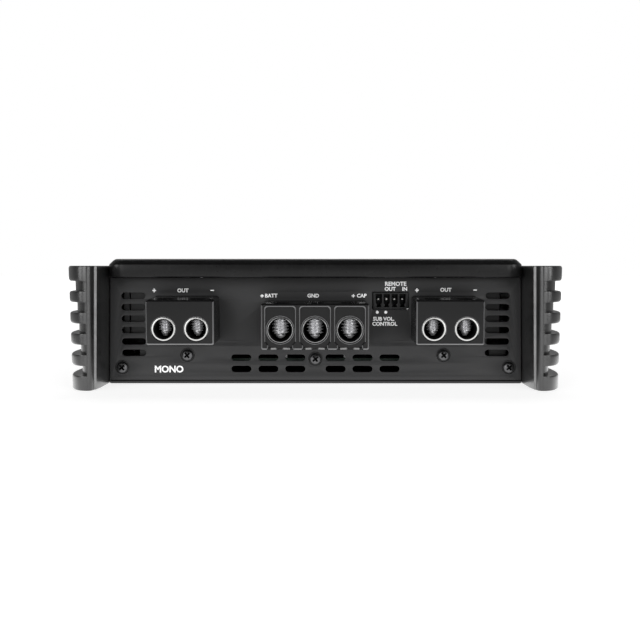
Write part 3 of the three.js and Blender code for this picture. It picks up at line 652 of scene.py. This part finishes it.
# ---- terminal blocks
def tube(radius, y0, y1, x, z, segments=40):
    return Form().lathe([(0, y0), (radius, y0), (radius, y1), (0, y1)], (x, 0, z), "y", segments)


def countersunk(radius, flare, y0, depth, x, z):
    """A round cutter along Y whose mouth at y0 is flared."""
    mouth, end = y0 - 1, y0 + depth
    rows = [(0, mouth), (radius + flare + 1, mouth), (radius, y0 + flare), (radius, end), (0, end)]
    return Form().lathe(rows, (x, 0, z), "y", 40)


def chimney(radius, x, low, top):
    flare = 0.5
    rows = [(0, low), (radius, low), (radius, top - flare), (radius + flare + 1, top + 1), (0, top + 1)]
    return Form().lathe(rows, (x, SCREW_Y, 0), "z", 40)


def block_body(x0, x1, low, top_front, top_back, neck):
    """The moulded body, lofted from its front face to its foot, with a neck through the panel."""
    front, back = BLOCK_FRONT, PANEL_Y - 0.05
    rings = []
    for y, inset, radius in (
        (front, 0.62, 0.5), (front + 0.5, 0.1, 0.8), (front + 0.75, 0.0, 0.9),
        (front + 8, 0.0, 1.0), (back - 1.2, 0.0, 1.6), (back - 1.1, -0.12, 1.7), (back, -0.12, 1.7),
    ):
        share = (y - front) / (back - front)
        top = top_front + (top_back - top_front) * share
        flat = rounded(x0 + inset, x1 - inset, low + inset, top - inset, radius, 4)
        rings.append([(x, y, z) for x, z in flat])
    half, bottom, high = neck
    centre = (x0 + x1) / 2
    neck = (centre - half, back - 0.5, bottom), (centre + half, PANEL_Y + 13, high)
    return Form().loft(rings).box(*neck, 0.3)


def paint_edge_highlight(obj):
    """Paints the slanted strips near a block's face lighter, a painted highlight on the edges."""
    for polygon in obj.data.polygons:
        n = polygon.normal
        if polygon.center.y < (BLOCK_FRONT + 0.7) * MM and 0.35 < abs(n.y) < 0.93 and n.z < 0.3:
            polygon.material_index = 1


def clamp_pocket(x, axis_z, half, low, high, leg_low, wall):
    """Room behind the front wall for a clamp block and its solder tail."""
    body = Form().box((x - half, BLOCK_FRONT + wall, axis_z - low), (x + half, PANEL_Y + 14, axis_z + high))
    return [body, Form().box((x - 2.3, PANEL_Y + 8.5, leg_low), (x + 2.3, PANEL_Y + 14, axis_z))]


def screw_tab(form, spot, top):
    """Adds the tab behind the panel that a block's screw goes into, and gives back the screw's hole."""
    x, z = spot
    form.box((x - 5, PANEL_Y + 1.8, z - 4), (x + 5, PANEL_Y + 6.8, top), 0.3)
    return tube(1.8, PANEL_Y + 1, PANEL_Y + 8, x, z, 20)


SPEAKER_X, SPEAKER_STEP = 62.0, 7.5
POWER_X = (-16.0, 0.0, 16.0)


def speaker_block(side, name):
    centre = side * SPEAKER_X
    form = block_body(centre - 15.65, centre + 15.65, 20.0, 40.5, 41.8, (14.6, 21.0, 40.0))
    screw_hole = screw_tab(form, (centre, BLOCK_SCREW[1]), 22.0)
    cutters = []
    for x in (centre - SPEAKER_STEP, centre + SPEAKER_STEP):
        cutters.append(countersunk(5.62, 0.2, BLOCK_FRONT, 3.0, x, SPEAKER_AXIS))
        cutters += clamp_pocket(x, SPEAKER_AXIS, 6.3, 5.9, 7.7, 18.0, 1.7)
        cutters.append(chimney(3.6, x, SPEAKER_AXIS, 40.9))
    obj = carve(plain_object("look_" + name, form), [*cutters, screw_hole])
    # the slanted edge strips take the lighter edge colour: painted highlight
    paint_edge_highlight(obj)
    dress(obj, ["plastic", "edge"], name)


def cell_cutter(x):
    """The framed recess round a power terminal: round above, slanted below, open through the sill."""
    half, low, high, corner, slant = 7.25, 17.4, 37.9, 1.4, 1.3

    def outline(inset):
        w, top = half - inset, high - inset
        made = arc(x + w - corner, top - corner, corner, corner, 0, 90, 5)
        made += arc(x - w + corner, top - corner, corner, corner, 90, 180, 5)
        made += [(x - w, low + 4.0), (x - w + slant, low + 2.4), (x - w + slant, low - 0.4)]
        return made + [(x + w - slant, low - 0.4), (x + w - slant, low + 2.4), (x + w, low + 4.0)]

    rings = []
    for depth, inset in ((-1, -0.5), (0, 0.0), (0.42, 0.42), (1.25, 0.5)):
        rings.append([(px, BLOCK_FRONT + depth, pz) for px, pz in outline(inset)])
    return Form().loft(rings)


def sill_reach(x):
    """How far forward of the deepest point the hollow front of a sill comes at x from its middle."""
    turn, bend = 4.0, 0.6  # the hollow's curve turns over from 4 mm out, for 0.6 mm
    if x < turn:
        return 0.0538 * x * x
    t = min(x - turn, bend)
    return 0.861 + 0.43 * t - 0.358 * t * t


def cell_floor(x):
    """The glossy sill that closes the bottom of a cell. Its front is hollow along X and leans back."""
    half, steps, low, high = 6.1, 30, 17.85, 18.9
    back = BLOCK_FRONT + 2.6
    rings = []
    for i in range(steps + 1):
        u = half * (2 * i / steps - 1)
        front = BLOCK_FRONT + 1.11 - sill_reach(abs(u))
        flat = [(front, low), (back, low), (back, high), (front + 0.5, high - 0.05)]
        flat.append((front + 0.16, high - 0.25))
        rings.append([(x + u, y, z) for y, z in flat])
    return Form().loft(rings, marked={4: 2, 3: 2})


def boss(x):
    """The moulded collar round a power terminal, its crest given the lighter edge colour as a painted
    highlight.
    """
    rows = [(6.0, 3.2), (6.0, 1.05), (6.3, 0.8), (6.45, 0.75), (6.65, 0.95), (6.65, 3.2)]
    rows = [(radius, BLOCK_FRONT + depth) for radius, depth in rows]
    form = Form().lathe(rows, (x, 0, POWER_AXIS), "y", 48, closed=True)
    for i, face in enumerate(form.faces):
        corners = [form.points[p] for p in face]
        outside = [math.hypot(cx - x, cz - POWER_AXIS) > 6.29 for cx, cy, cz in corners]
        if all(outside) and all(cy < BLOCK_FRONT + 1 for cx, cy, cz in corners):
            form.marks[i] = 1
    return form


def power_block():
    form = block_body(-24.8, 24.8, 17.8, 38.9, 39.4, (23.8, 19.4, 38.2))
    screw_hole = screw_tab(form, POWER_SCREW, 20.0)
    cutters = []
    for x in POWER_X:
        cutters += [cell_cutter(x), tube(6.0, BLOCK_FRONT - 1, BLOCK_FRONT + 5, x, POWER_AXIS)]
        cutters += clamp_pocket(x, POWER_AXIS, 6.9, 6.7, 9.5, 17.0, 3.7)
        cutters.append(chimney(4.35, x, POWER_AXIS, 39.0))
    obj = carve(plain_object("look_power_block", form), [*cutters, screw_hole])
    # the slanted edge strips take the lighter edge colour: painted highlight
    paint_edge_highlight(obj)
    for x in POWER_X:
        join_form(obj, cell_floor(x))
        join_form(obj, boss(x))
    dress(obj, ["plastic", "edge", "gloss"], "power_block")


speaker_block(-1, "speaker_block_left")
speaker_block(1, "speaker_block_right")
power_block()


# ---- wire clamps
# bore, ring: radii of the mouth and of its rim. dark: inside this radius the walls behind the rim are
# painted dark as shade.
# half, low, high, body: half width, reach below and above the axis and front of the clamp's body.
# inset: how far the rim lies behind the block's face. screw, thread, pitch, length, socket: the set screw.
KIND = {
    "speaker": {
        "axis": SPEAKER_AXIS, "bore": 4.25, "ring": 5.45, "dark": 4.72, "inset": 0.05, "finish": "nickel",
        "half": 6.0, "low": 5.6, "high": 7.4, "body": 2.0,
        "screw": 3.3, "thread": 0.95, "pitch": 1.25, "length": 10.5, "socket": 1.5,
    },
    "power": {
        "axis": POWER_AXIS, "bore": 5.1, "ring": 5.85, "dark": 5.4, "inset": 0.9, "finish": "nickel_dull",
        "half": 6.6, "low": 6.4, "high": 9.2, "body": 4.0,
        "screw": 4.15, "thread": 1.25, "pitch": 1.5, "length": 12.5, "socket": 2.0,
    },
}
FOOT_HEIGHT = 1.7
FOOT_SHARE = 0.62  # the foot's radius as a share of the screw's
CLAMP_DEPTH, TAIL_LOW = 32, 10.9


def clamp(k, x, name):
    y, z, bore, ring = BLOCK_FRONT, k["axis"], k["bore"], k["ring"]
    rim = y + k["inset"]
    end = y + k["body"] + 0.6
    rows = [(bore, end), (bore, rim + 1.9), (bore, rim + 0.9), (bore + 0.42, rim + 0.12), (bore + 0.55, rim)]
    rows += [(ring - 0.2, rim), (ring - 0.06, rim + 0.07), (ring, rim + 0.3), (ring, end)]
    collar = Form().lathe(rows, (x, 0, z), "y", 56, closed=True)
    back = y + CLAMP_DEPTH
    half = k["half"]
    body = Form().box((x - half, y + k["body"], z - k["low"]), (x + half, back, z + k["high"]), 0.35)
    body.box((x - 2, back - 1.5, TAIL_LOW), (x + 2, back, z - k["low"] + 1))
    hole = Form().lathe([(0, y), (bore, y), (bore, y + 16), (0, y + 17.5)], (x, 0, z), "y", 56)
    room = k["screw"] + 0.2
    screw_hole = Form().lathe([(0, z), (room, z), (room, z + 20), (0, z + 20)], (x, SCREW_Y, 0), "z", 40)
    obj = carve(plain_object(f"look_{name}_clamp", body), [hole, screw_hole])
    join_object(obj, carve(plain_object("collar", collar), [screw_hole]))
    # the walls inside the dark radius take the bore colour: painted shade
    for polygon in obj.data.polygons:
        c = polygon.center
        if math.hypot(c.x / MM - x, c.z / MM - SUNK - z) < k["dark"] and c.y > (rim + 0.05) * MM:
            polygon.material_index = 1
    dress(obj, [k["finish"], "bore"], name + "_clamp")


def foot_low(k):
    """How far above the clamp's axis a foot starts: it rests on the round floor of the bore."""
    half = k["screw"] * FOOT_SHARE
    return 0.35 - math.sqrt(k["bore"] ** 2 - half**2)


def threaded(radius, depth, pitch, low, high, cx, cy, per_turn=40):
    """A vee thread as one closed skin: each ring's radius follows the helix, faded out at both ends."""
    levels = round((high - low) / pitch * 8)
    rings = []
    for level in range(levels + 1):
        z = low + (high - low) * level / levels
        end = min(1.0, (z - low) / 0.7, (high - z) / 0.5)
        ring = []
        for i in range(per_turn):
            turn = i / per_turn
            phase = (z / pitch - turn) % 1.0
            tooth = min(1.0, max(0.0, abs(phase - 0.5) * 2.5 - 0.1))
            r = radius - depth * (1 - tooth) - (1 - end) * depth * 0.9
            angle = 2 * math.pi * turn
            ring.append((cx + r * math.cos(angle), cy + r * math.sin(angle), z))
        rings.append(ring)
    return rings


def set_screw(k, x, name):
    low = k["axis"] + foot_low(k) + FOOT_HEIGHT + 0.3
    high = low + k["length"]
    form = Form().loft(threaded(k["screw"], k["thread"], k["pitch"], low, high, x, SCREW_Y))
    flat = k["socket"] / math.cos(math.pi / 6)
    hollows = (
        (6, [(0, high - 4.4), (flat * 0.9, high - 4), (flat, high - 3.9), (flat, high - 0.3),
             (flat + 1.3, high + 1), (0, high + 1)]),
        (24, [(0, low - 1), (1.1, low - 1), (1.1, low + 1.9), (0, low + 2.1)]),
        (32, [(0, low - 1), (k["screw"] * 0.55, low - 0.5), (1.0, low + 0.45), (0, low + 0.5)]),
    )
    cutters = [Form().lathe(rows, (x, SCREW_Y, 0), "z", sides) for sides, rows in hollows]
    piece(name + "_set_screw", form, "steel", cutters, name + "_screw", angle=25)


def foot(k, x, name):
    """The small shoe that a set screw presses on the cable with."""
    low = k["axis"] + foot_low(k)
    wide, top = k["screw"] * FOOT_SHARE, low + FOOT_HEIGHT
    rows = [(0, low + 0.55), (wide * 0.28, low + 0.5), (wide * 0.4, low), (wide * 0.47, low)]
    rows += [(wide * 0.52, low + 0.08), (wide * 0.93, top - 0.4), (wide * 0.95, top - 0.08)]
    rows.append((wide * 0.9, top))
    rows += [(0.8, top), (0.8, top + 1.45), (0.65, top + 1.6), (0, top + 1.6)]
    form = Form().lathe(rows, (x, SCREW_Y, 0), "z", 36)
    node = name + "_foot"
    piece(node, form, "steel", body=node)


TERMINALS = (
    ("left_plus", "speaker", -SPEAKER_X - SPEAKER_STEP),
    ("left_minus", "speaker", -SPEAKER_X + SPEAKER_STEP),
    ("right_plus", "speaker", SPEAKER_X - SPEAKER_STEP),
    ("right_minus", "speaker", SPEAKER_X + SPEAKER_STEP),
    ("battery", "power", POWER_X[0]), ("ground", "power", POWER_X[1]), ("capacitor", "power", POWER_X[2]),
)
for terminal, kind, x in TERMINALS:
    for build in (clamp, set_screw, foot):
        build(KIND[kind], x, terminal)


# ---- remote header
HEADER_X, HEADER_HALF, HEADER_LOW, HEADER_HIGH = 36.2, 8.4, 35.6, 43.4
PIN_PITCH, PIN_Z = 3.81, 40.2
PIN_X = [HEADER_X + (i - 1.5) * PIN_PITCH for i in range(4)]


def keyed(x):
    """The outline of one header cell: a wide upper opening, a narrow neck and a flared foot."""
    left = [(-1.5, 42.7), (-1.5, 38.35), (-1.05, 37.9), (-0.75, 37.6), (-1.35, 36.45)]
    return [(x + u, z) for u, z in left] + [(x - u, z) for u, z in reversed(left)]


def header():
    x0, x1 = HEADER_X - HEADER_HALF, HEADER_X + HEADER_HALF
    outer = rounded(x0, x1, HEADER_LOW, HEADER_HIGH, 0.35, 3)
    cells = [keyed(x) for x in PIN_X]
    shell = pierced("look_remote_header", outer, cells, PANEL_Y + 7, PANEL_Y - 1.1, 0.12)
    back = Form().box((x0, PANEL_Y + 6.9, HEADER_LOW), (x1, PANEL_Y + 9, HEADER_HIGH), 0.1)
    wall = plain_object("header_wall", back)
    half, y0, y1 = 0.65, PANEL_Y + 6, PANEL_Y + 10
    carve(wall, [Form().box((x - half, y0, PIN_Z - half), (x + half, y1, PIN_Z + half)) for x in PIN_X])
    join_object(shell, wall)
    dress(shell, "plastic_dull", "remote_header")


def header_pin(x, name):
    """A square pin with pointed ends."""
    y0, y1 = PANEL_Y + 1, PANEL_Y + 12
    rings = []
    for y, h in ((y0, 0.25), (y0 + 0.7, 0.5), (y1 - 0.7, 0.5), (y1, 0.25)):
        rings.append([(x + u * h, y, PIN_Z + v * h) for u, v in ((-1, -1), (1, -1), (1, 1), (-1, 1))])
    piece(name, Form().loft(rings), "tin")


header()
for i, x in enumerate(PIN_X):
    header_pin(x, f"header_pin_{i + 1}")


# ---- rear end
INSIDE = REAR_Y - 1.8  # the plane that the blocks and the fan stand against
BLOCK_FOOT, BLOCK_TOP = 10.9, 37


def rca_parts():
    form = Form().box((-80, INSIDE - 12, BLOCK_FOOT), (-44, INSIDE, BLOCK_TOP), 0.5)
    for x, z in RCA_SPOTS:
        rows = [(0, INSIDE - 1), (5.2, INSIDE - 1), (5.2, REAR_Y + 1.2), (5.0, REAR_Y + 1.5)]
        rows.append((0, REAR_Y + 1.5))
        form.lathe(rows, (x, 0, z), "y", 40)
    bores = [tube(4.5, INSIDE - 8, REAR_Y + 4, x, z) for x, z in RCA_SPOTS]
    piece("rca_block", form, "plastic", bores)
    rows = [(3.3, -5), (3.3, 8.8), (3.5, 9), (4.0, 9), (4.2, 8.7), (4.2, 0.5), (4.2, -8), (0, -8), (0, -5)]
    for (x, z), side in zip(RCA_SPOTS, ("left", "right")):
        shell = Form().lathe(rows, (x, REAR_Y, z), "y", 44)
        piece("rca_shell_" + side, shell, "nickel")


def knob(name, x):
    """A knurled knob on a smooth shaft, with a slot in its end that points up at rest."""
    teeth = 48
    rings = []
    for y, radius, knurl in (
        (-9, 3.1, 0), (0.2, 3.1, 0), (0.5, 3.2, 0.14), (3.4, 3.2, 0.14), (3.9, 2.9, 0), (4.0, 2.6, 0),
    ):
        ring = []
        for i in range(teeth):
            angle = 2 * math.pi * i / teeth
            r = radius - knurl * (i % 2)
            ring.append((x + r * math.cos(angle), REAR_Y + y, CONTROL_Z + r * math.sin(angle)))
        rings.append(ring)
    slot = Form().box((x - 0.45, REAR_Y + 2.6, CONTROL_Z - 1.0), (x + 0.45, REAR_Y + 6, CONTROL_Z + 4))
    piece(name, Form().loft(rings), "knob", [slot], name)


def phase_switch():
    x, z = SWITCH_X, CONTROL_Z
    form = Form().box((x - 1.6, REAR_Y - 5, z - 1.2), (x + 1.6, REAR_Y + 3.4, z + 1.2), 0.25)
    grooves = []
    for left in (x - 0.9, x - 0.1, x + 0.7):
        grooves.append(Form().box((left, REAR_Y + 3.1, z - 2), (left + 0.3, REAR_Y + 5, z + 2)))
    piece("phase_switch", form, "knob", grooves, "phase_switch")


def control_parts():
    form = Form().box((-34, INSIDE - 14, BLOCK_FOOT), (45, INSIDE, BLOCK_TOP), 0.5)
    cutters = [tube(3.5, REAR_Y - 9.3, REAR_Y, x, CONTROL_Z) for x in KNOB_X.values()]
    low, high = CONTROL_Z - 1.5, CONTROL_Z + 1.5
    cutters.append(Form().box((SWITCH_X - 1.9, REAR_Y - 5.3, low), (SWITCH_X + 4.9, REAR_Y, high)))
    cutters.append(tube(1.8, REAR_Y - 5.3, REAR_Y, LENS_X, CONTROL_Z, 20))
    piece("control_block", form, "plastic_dull", cutters)
    for name, x in KNOB_X.items():
        knob(name, x)
    phase_switch()
    rows = [(0, -5), (1.5, -5), (1.5, 0.1), (1.3, 0.4), (0.7, 0.6), (0, 0.65)]
    lens = Form().lathe(rows, (LENS_X, REAR_Y, CONTROL_Z), "y", 24)
    piece("status_lens", lens, "lens")


rca_parts()
control_parts()

BLADES, BLADE_ROOT, BLADE_TIP = 7, 8.4, 17.7  # how many, and their ends' distances from the fan's axis


def fan_frame():
    """The square frame: a round throat, corner holes and a motor mount on three arms."""
    centre = (FAN_X, INSIDE, FAN_Z)
    form = Form().box((FAN_X - 20, INSIDE - 10, FAN_Z - 20), (FAN_X + 20, INSIDE, FAN_Z + 20), 1.2)
    throat = [(0, -11), (18.9, -11), (18.6, -8), (18.6, -2), (19.0, 1), (0, 1)]
    cutters = [Form().lathe(throat, centre, "y", 64)]
    for a in (-16.5, 16.5):
        cutters += [tube(1.7, INSIDE - 11, INSIDE + 1, FAN_X + a, FAN_Z + b, 16) for b in (-16.5, 16.5)]
    obj = carve(plain_object("look_fan_frame", form), cutters)
    rows = [(0, -10), (8.2, -10), (8.5, -9.7), (8.5, -8.6), (8.2, -8.4), (0, -8.4)]
    mount = Form().lathe(rows, centre, "y", 40)
    mount.lathe([(0, -9), (1.2, -9), (1.2, -3), (0, -3)], centre, "y", 20)
    for i in range(3):
        angle = -(2 * math.pi * i / 3 + 0.4)
        c, s = math.cos(angle), math.sin(angle)
        arm = [(5.0, -1), (19.3, -1), (19.3, 1), (5.0, 1)]
        flat = [(FAN_X + u * c - v * s, FAN_Z + u * s + v * c) for u, v in arm]
        mount.loft([[(x, INSIDE + depth, z) for x, z in flat] for depth in (-10, -8.4)])
    join_form(obj, mount)
    dress(obj, "plastic_dull", "fan_frame")


def fan_blade(root):
    """One blade as a row of sections from its root at the hub outward, less steep towards the tip."""
    steps = 6
    section = [(-3.6, 0.0), (-1.8, 0.42), (0.4, 0.55), (3.6, 0.1)]
    section += [(3.6, -0.1), (0.4, -0.05), (-1.8, -0.2), (-3.6, -0.15)]
    middle, half_depth = INSIDE - 4.3, 3.4
    rings = []
    for step in range(steps + 1):
        share = step / steps
        r = BLADE_ROOT + (BLADE_TIP - BLADE_ROOT) * share
        twist, sweep = math.radians(52 - 14 * share), root + 0.22 * share
        ring = []
        for u, v in section:
            across = u * math.cos(twist) - v * math.sin(twist)
            along = max(-half_depth, min(half_depth, u * math.sin(twist) + v * math.cos(twist)))
            x = FAN_X + r * math.cos(sweep) - across * math.sin(sweep)
            z = FAN_Z + r * math.sin(sweep) + across * math.cos(sweep)
            ring.append((x, middle + along, z))
        rings.append(ring)
    return rings


def fan_rotor():
    rows = [(0, -7.8), (8.6, -7.8), (9, -7.4), (9, -1.6), (8.6, -0.9), (7.5, -0.8), (0, -0.8)]
    form = Form().lathe(rows, (FAN_X, INSIDE, FAN_Z), "y", 48)
    for i in range(BLADES):
        form.loft(fan_blade(2 * math.pi * i / BLADES))
    shaft_hole = tube(1.5, INSIDE - 9, INSIDE - 2.7, FAN_X, FAN_Z, 20)
    piece("fan_rotor", form, "plastic", [shaft_hole], "fan_rotor")


fan_frame()
fan_rotor()


# ---- inside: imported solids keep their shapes
CARRIED = {
    "main_board": "board", "power_transformer": "winding", "output_choke": "winding",
    "reservoir_capacitor_1": "can", "reservoir_capacitor_2": "can", "device_bar_left": "bar",
    "device_bar_right": "bar",
}
for node, key in CARRIED.items():
    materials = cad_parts[node].data.materials
    materials.clear()
    materials.append(MAT[key])


# ---- printed labels
CAPITAL = 1.42  # font size for a capital of height 1
INK_DEPTH, INK_GAP = 0.02, 0.03
PLUS, MINUS = True, False


def label(name, text, x, z, size, rear=False):
    """White print just proud of a panel. size is the height of a capital."""
    curve = bpy.data.curves.new(name, "FONT")
    curve.body, curve.align_x, curve.align_y = text, "CENTER", "CENTER"
    curve.size = size * CAPITAL * MM
    curve.extrude, curve.offset, curve.resolution_u = INK_DEPTH * MM, 0.045 * size * MM, 3
    mesh = baked_curve(name, curve)
    turn = Matrix.Rotation(math.pi / 2, 4, "X")
    y = PANEL_Y - INK_GAP
    if rear:
        turn, y = Matrix.Rotation(math.pi, 4, "Z") @ turn, REAR_Y + INK_GAP
    mesh.transform(Matrix.Translation((x * MM, y * MM, (z + SUNK) * MM)) @ turn)
    mesh.materials.clear()
    mesh.materials.append(MAT["ink"])
    obj = linked(name, mesh)
    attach(obj, CHASSIS)


def sign(name, x, z, arm, plus):
    """A printed plus or minus with arms of the given half length."""
    thick = 0.25
    ring = [(-arm, -thick), (arm, -thick), (arm, thick), (-arm, thick)]
    if plus:
        ring = [(-arm, -thick), (-thick, -thick), (-thick, -arm)]
        ring += [(thick, -arm), (thick, -thick), (arm, -thick)]
        ring += [(-u, -v) for u, v in ring]
    levels = [PANEL_Y - INK_GAP + depth for depth in (-INK_DEPTH, INK_DEPTH)]
    form = Form().loft([[(x + u, y, z + v) for u, v in ring] for y in levels])
    dress(plain_object(name, form), "ink")


def dot(name, x, z, radius=0.72):
    rows = [(0, -INK_DEPTH), (radius, -INK_DEPTH), (radius, INK_DEPTH), (0, INK_DEPTH)]
    form = Form().lathe(rows, (x, PANEL_Y - INK_GAP, z), "y", 24)
    dress(plain_object(name, form), "ink")


for name, text, x, z, size in (
    ("out_left", "OUT", -63.85, 44.3, 1.78), ("out_right", "OUT", 62.8, 44.6, 1.78),
    ("batt", "BATT", -21.3, 41.8, 1.75), ("gnd", "GND", -1.05, 41.8, 1.75), ("cap", "CAP", 22.3, 41.8, 1.75),
    ("remote", "REMOTE", 38.6, 47.5, 1.92), ("remote_out", "OUT", 36.0, 45.05, 1.75),
    ("remote_in", "IN", 43.0, 45.05, 1.75), ("sub", "SUB VOL.", 33.0, 30.6, 1.75),
    ("control", "CONTROL", 33.45, 28.2, 1.75), ("model", "MONO", -71.0, 6.1, 3.1),
):
    label("print_" + name, text, x, z, size)
for name, x, z, arm, plus in (
    ("plus_left", -77.7, 44.4, 0.9, PLUS), ("minus_left", -49.7, 44.4, 0.85, MINUS),
    ("plus_right", 48.9, 44.5, 0.9, PLUS), ("minus_right", 76.9, 44.6, 0.85, MINUS),
    ("batt_plus", -25.7, 41.8, 0.8, PLUS), ("cap_plus", 18.3, 41.8, 0.8, PLUS),
):
    sign("print_" + name, x, z, arm, plus)
for i, x in enumerate((29.85, 33.95)):
    dot(f"print_dot_{i + 1}", x, 33.9)
for name, text, x, z, size in (
    ("input", "INPUT", -62.0, 37.0, 2.0), ("l", "L", RCA_SPOTS[0][0], 19.0, 2.0),
    ("r", "R", RCA_SPOTS[1][0], 19.0, 2.0), ("level", "LEVEL", KNOB_X["level_knob"], 36.0, 1.9),
    ("low_pass", "LOW PASS", KNOB_X["low_pass_knob"], 36.0, 1.9),
    ("bass", "BASS", KNOB_X["bass_knob"], 36.0, 1.9), ("phase", "PHASE", 29.5, 36.0, 1.9),
    ("phase_0", "0", 25.0, 24.5, 1.7), ("phase_180", "180", 34.0, 24.5, 1.7),
    ("power", "ON", LENS_X, 33.2, 1.6),
):
    label("print_rear_" + name, text, x, z, size, rear=True)


# ---- studio
FLOOR_GLOW, SEEN_GLOW = 1.25, 0.8  # the floor's light as the object gets it and as the camera sees it
DARK_END, BRIGHT_END = -0.15, 0.6  # how far round the room runs from dark, behind the camera, to bright


def studio_floor():
    """A pale table that glows. The glow that reaches the object comes from its middle strip; its sides are
    dim. To the camera it glows less near the object than far off, a painted darkening round the object.
    """
    g = Graph("floor")
    tone = g.mix(g.ramp(g.noise(9.0), 0.3, 0.7), grey(0.5), grey(0.52))
    strip = g.ramp(g.turned_aside(g.coord), 0.12, 0.36, FLOOR_GLOW, 0.08)
    away = g.node("VectorMath", 1, {0: g.coord}, operation="LENGTH")
    far = g.ramp(away, 0.5, 1.5, SEEN_GLOW, 1.2)
    seen = g.node("LightPath")
    unseen = g.math("SUBTRACT", 1.0, seen)
    glow = g.math("ADD", g.math("MULTIPLY", unseen, strip), g.math("MULTIPLY", seen, far))
    material = g.finish(color=tone, rough=0.8, specular=0.1, glow=glow, glow_color=grey(1.0))
    half, z = 4000.0, -SUNK - 0.3
    corners = [(-half, -half, z), (half, -half, z), (half, half, z), (-half, half, z)]
    form = Form().add(corners, [[0, 1, 2, 3]])
    obj = plain_object("studio_floor", form)
    obj.data.materials.append(material)


def softbox(name, spot, target, size, power):
    light = bpy.data.lights.new(name, "AREA")
    light.shape, light.size, light.size_y, light.energy = "RECTANGLE", size[0], size[1], power
    obj = linked(name, light)
    obj.location = spot
    obj.rotation_euler = (Vector(target) - Vector(spot)).to_track_quat("-Z", "Y").to_euler()


def room():
    """Dim walls, a dark end behind the camera and a dim ceiling, all of them white to the camera."""
    g = Graph("studio", "worlds")
    direction = g.node("TexCoord", "Generated")
    along, up = (g.node("SeparateXYZ", axis, {0: direction}) for axis in "YZ")
    walls = g.ramp(along, DARK_END, BRIGHT_END, 0.04, 0.25, "SMOOTHSTEP")
    ceiling = g.ramp(up, 0.2, 0.8, 1.0, 0.16, "SMOOTHSTEP")
    level = g.math("MAXIMUM", g.math("MULTIPLY", walls, ceiling), g.node("LightPath", "Is Camera Ray"))
    white = g.node("Background", inputs={"Color": grey(1.0), "Strength": level})
    g.node("OutputWorld", inputs={"Surface": white})
    bpy.context.scene.world = g.owner


studio_floor()
room()
for side, way in (("left", -1), ("right", 1)):
    softbox(side + "_front", (way * 0.95, -1.65, 0.5), (way * 0.1, -0.15, 0.03), (0.8, 1.1), 10)
    softbox(side + "_side", (way * 1.6, -1.0, 0.4), (0, -0.1, 0.03), (0.5, 0.9), 6)
softbox("back_top", (0, 1.0, 1.5), (0, 0, 0), (2.0, 0.8), 14)
bpy.context.scene.view_settings.view_transform = "Standard"

camera = linked("camera", bpy.data.cameras.new("camera"))
camera.data.lens, camera.data.sensor_width = 46.7, 36.0
camera.location = (0.0032, (PANEL_Y - 400) * MM, (56 + SUNK) * MM)
camera.rotation_euler = (math.radians(90 - 3.70), 0, math.radians(0.14))
bpy.context.scene.camera = camera
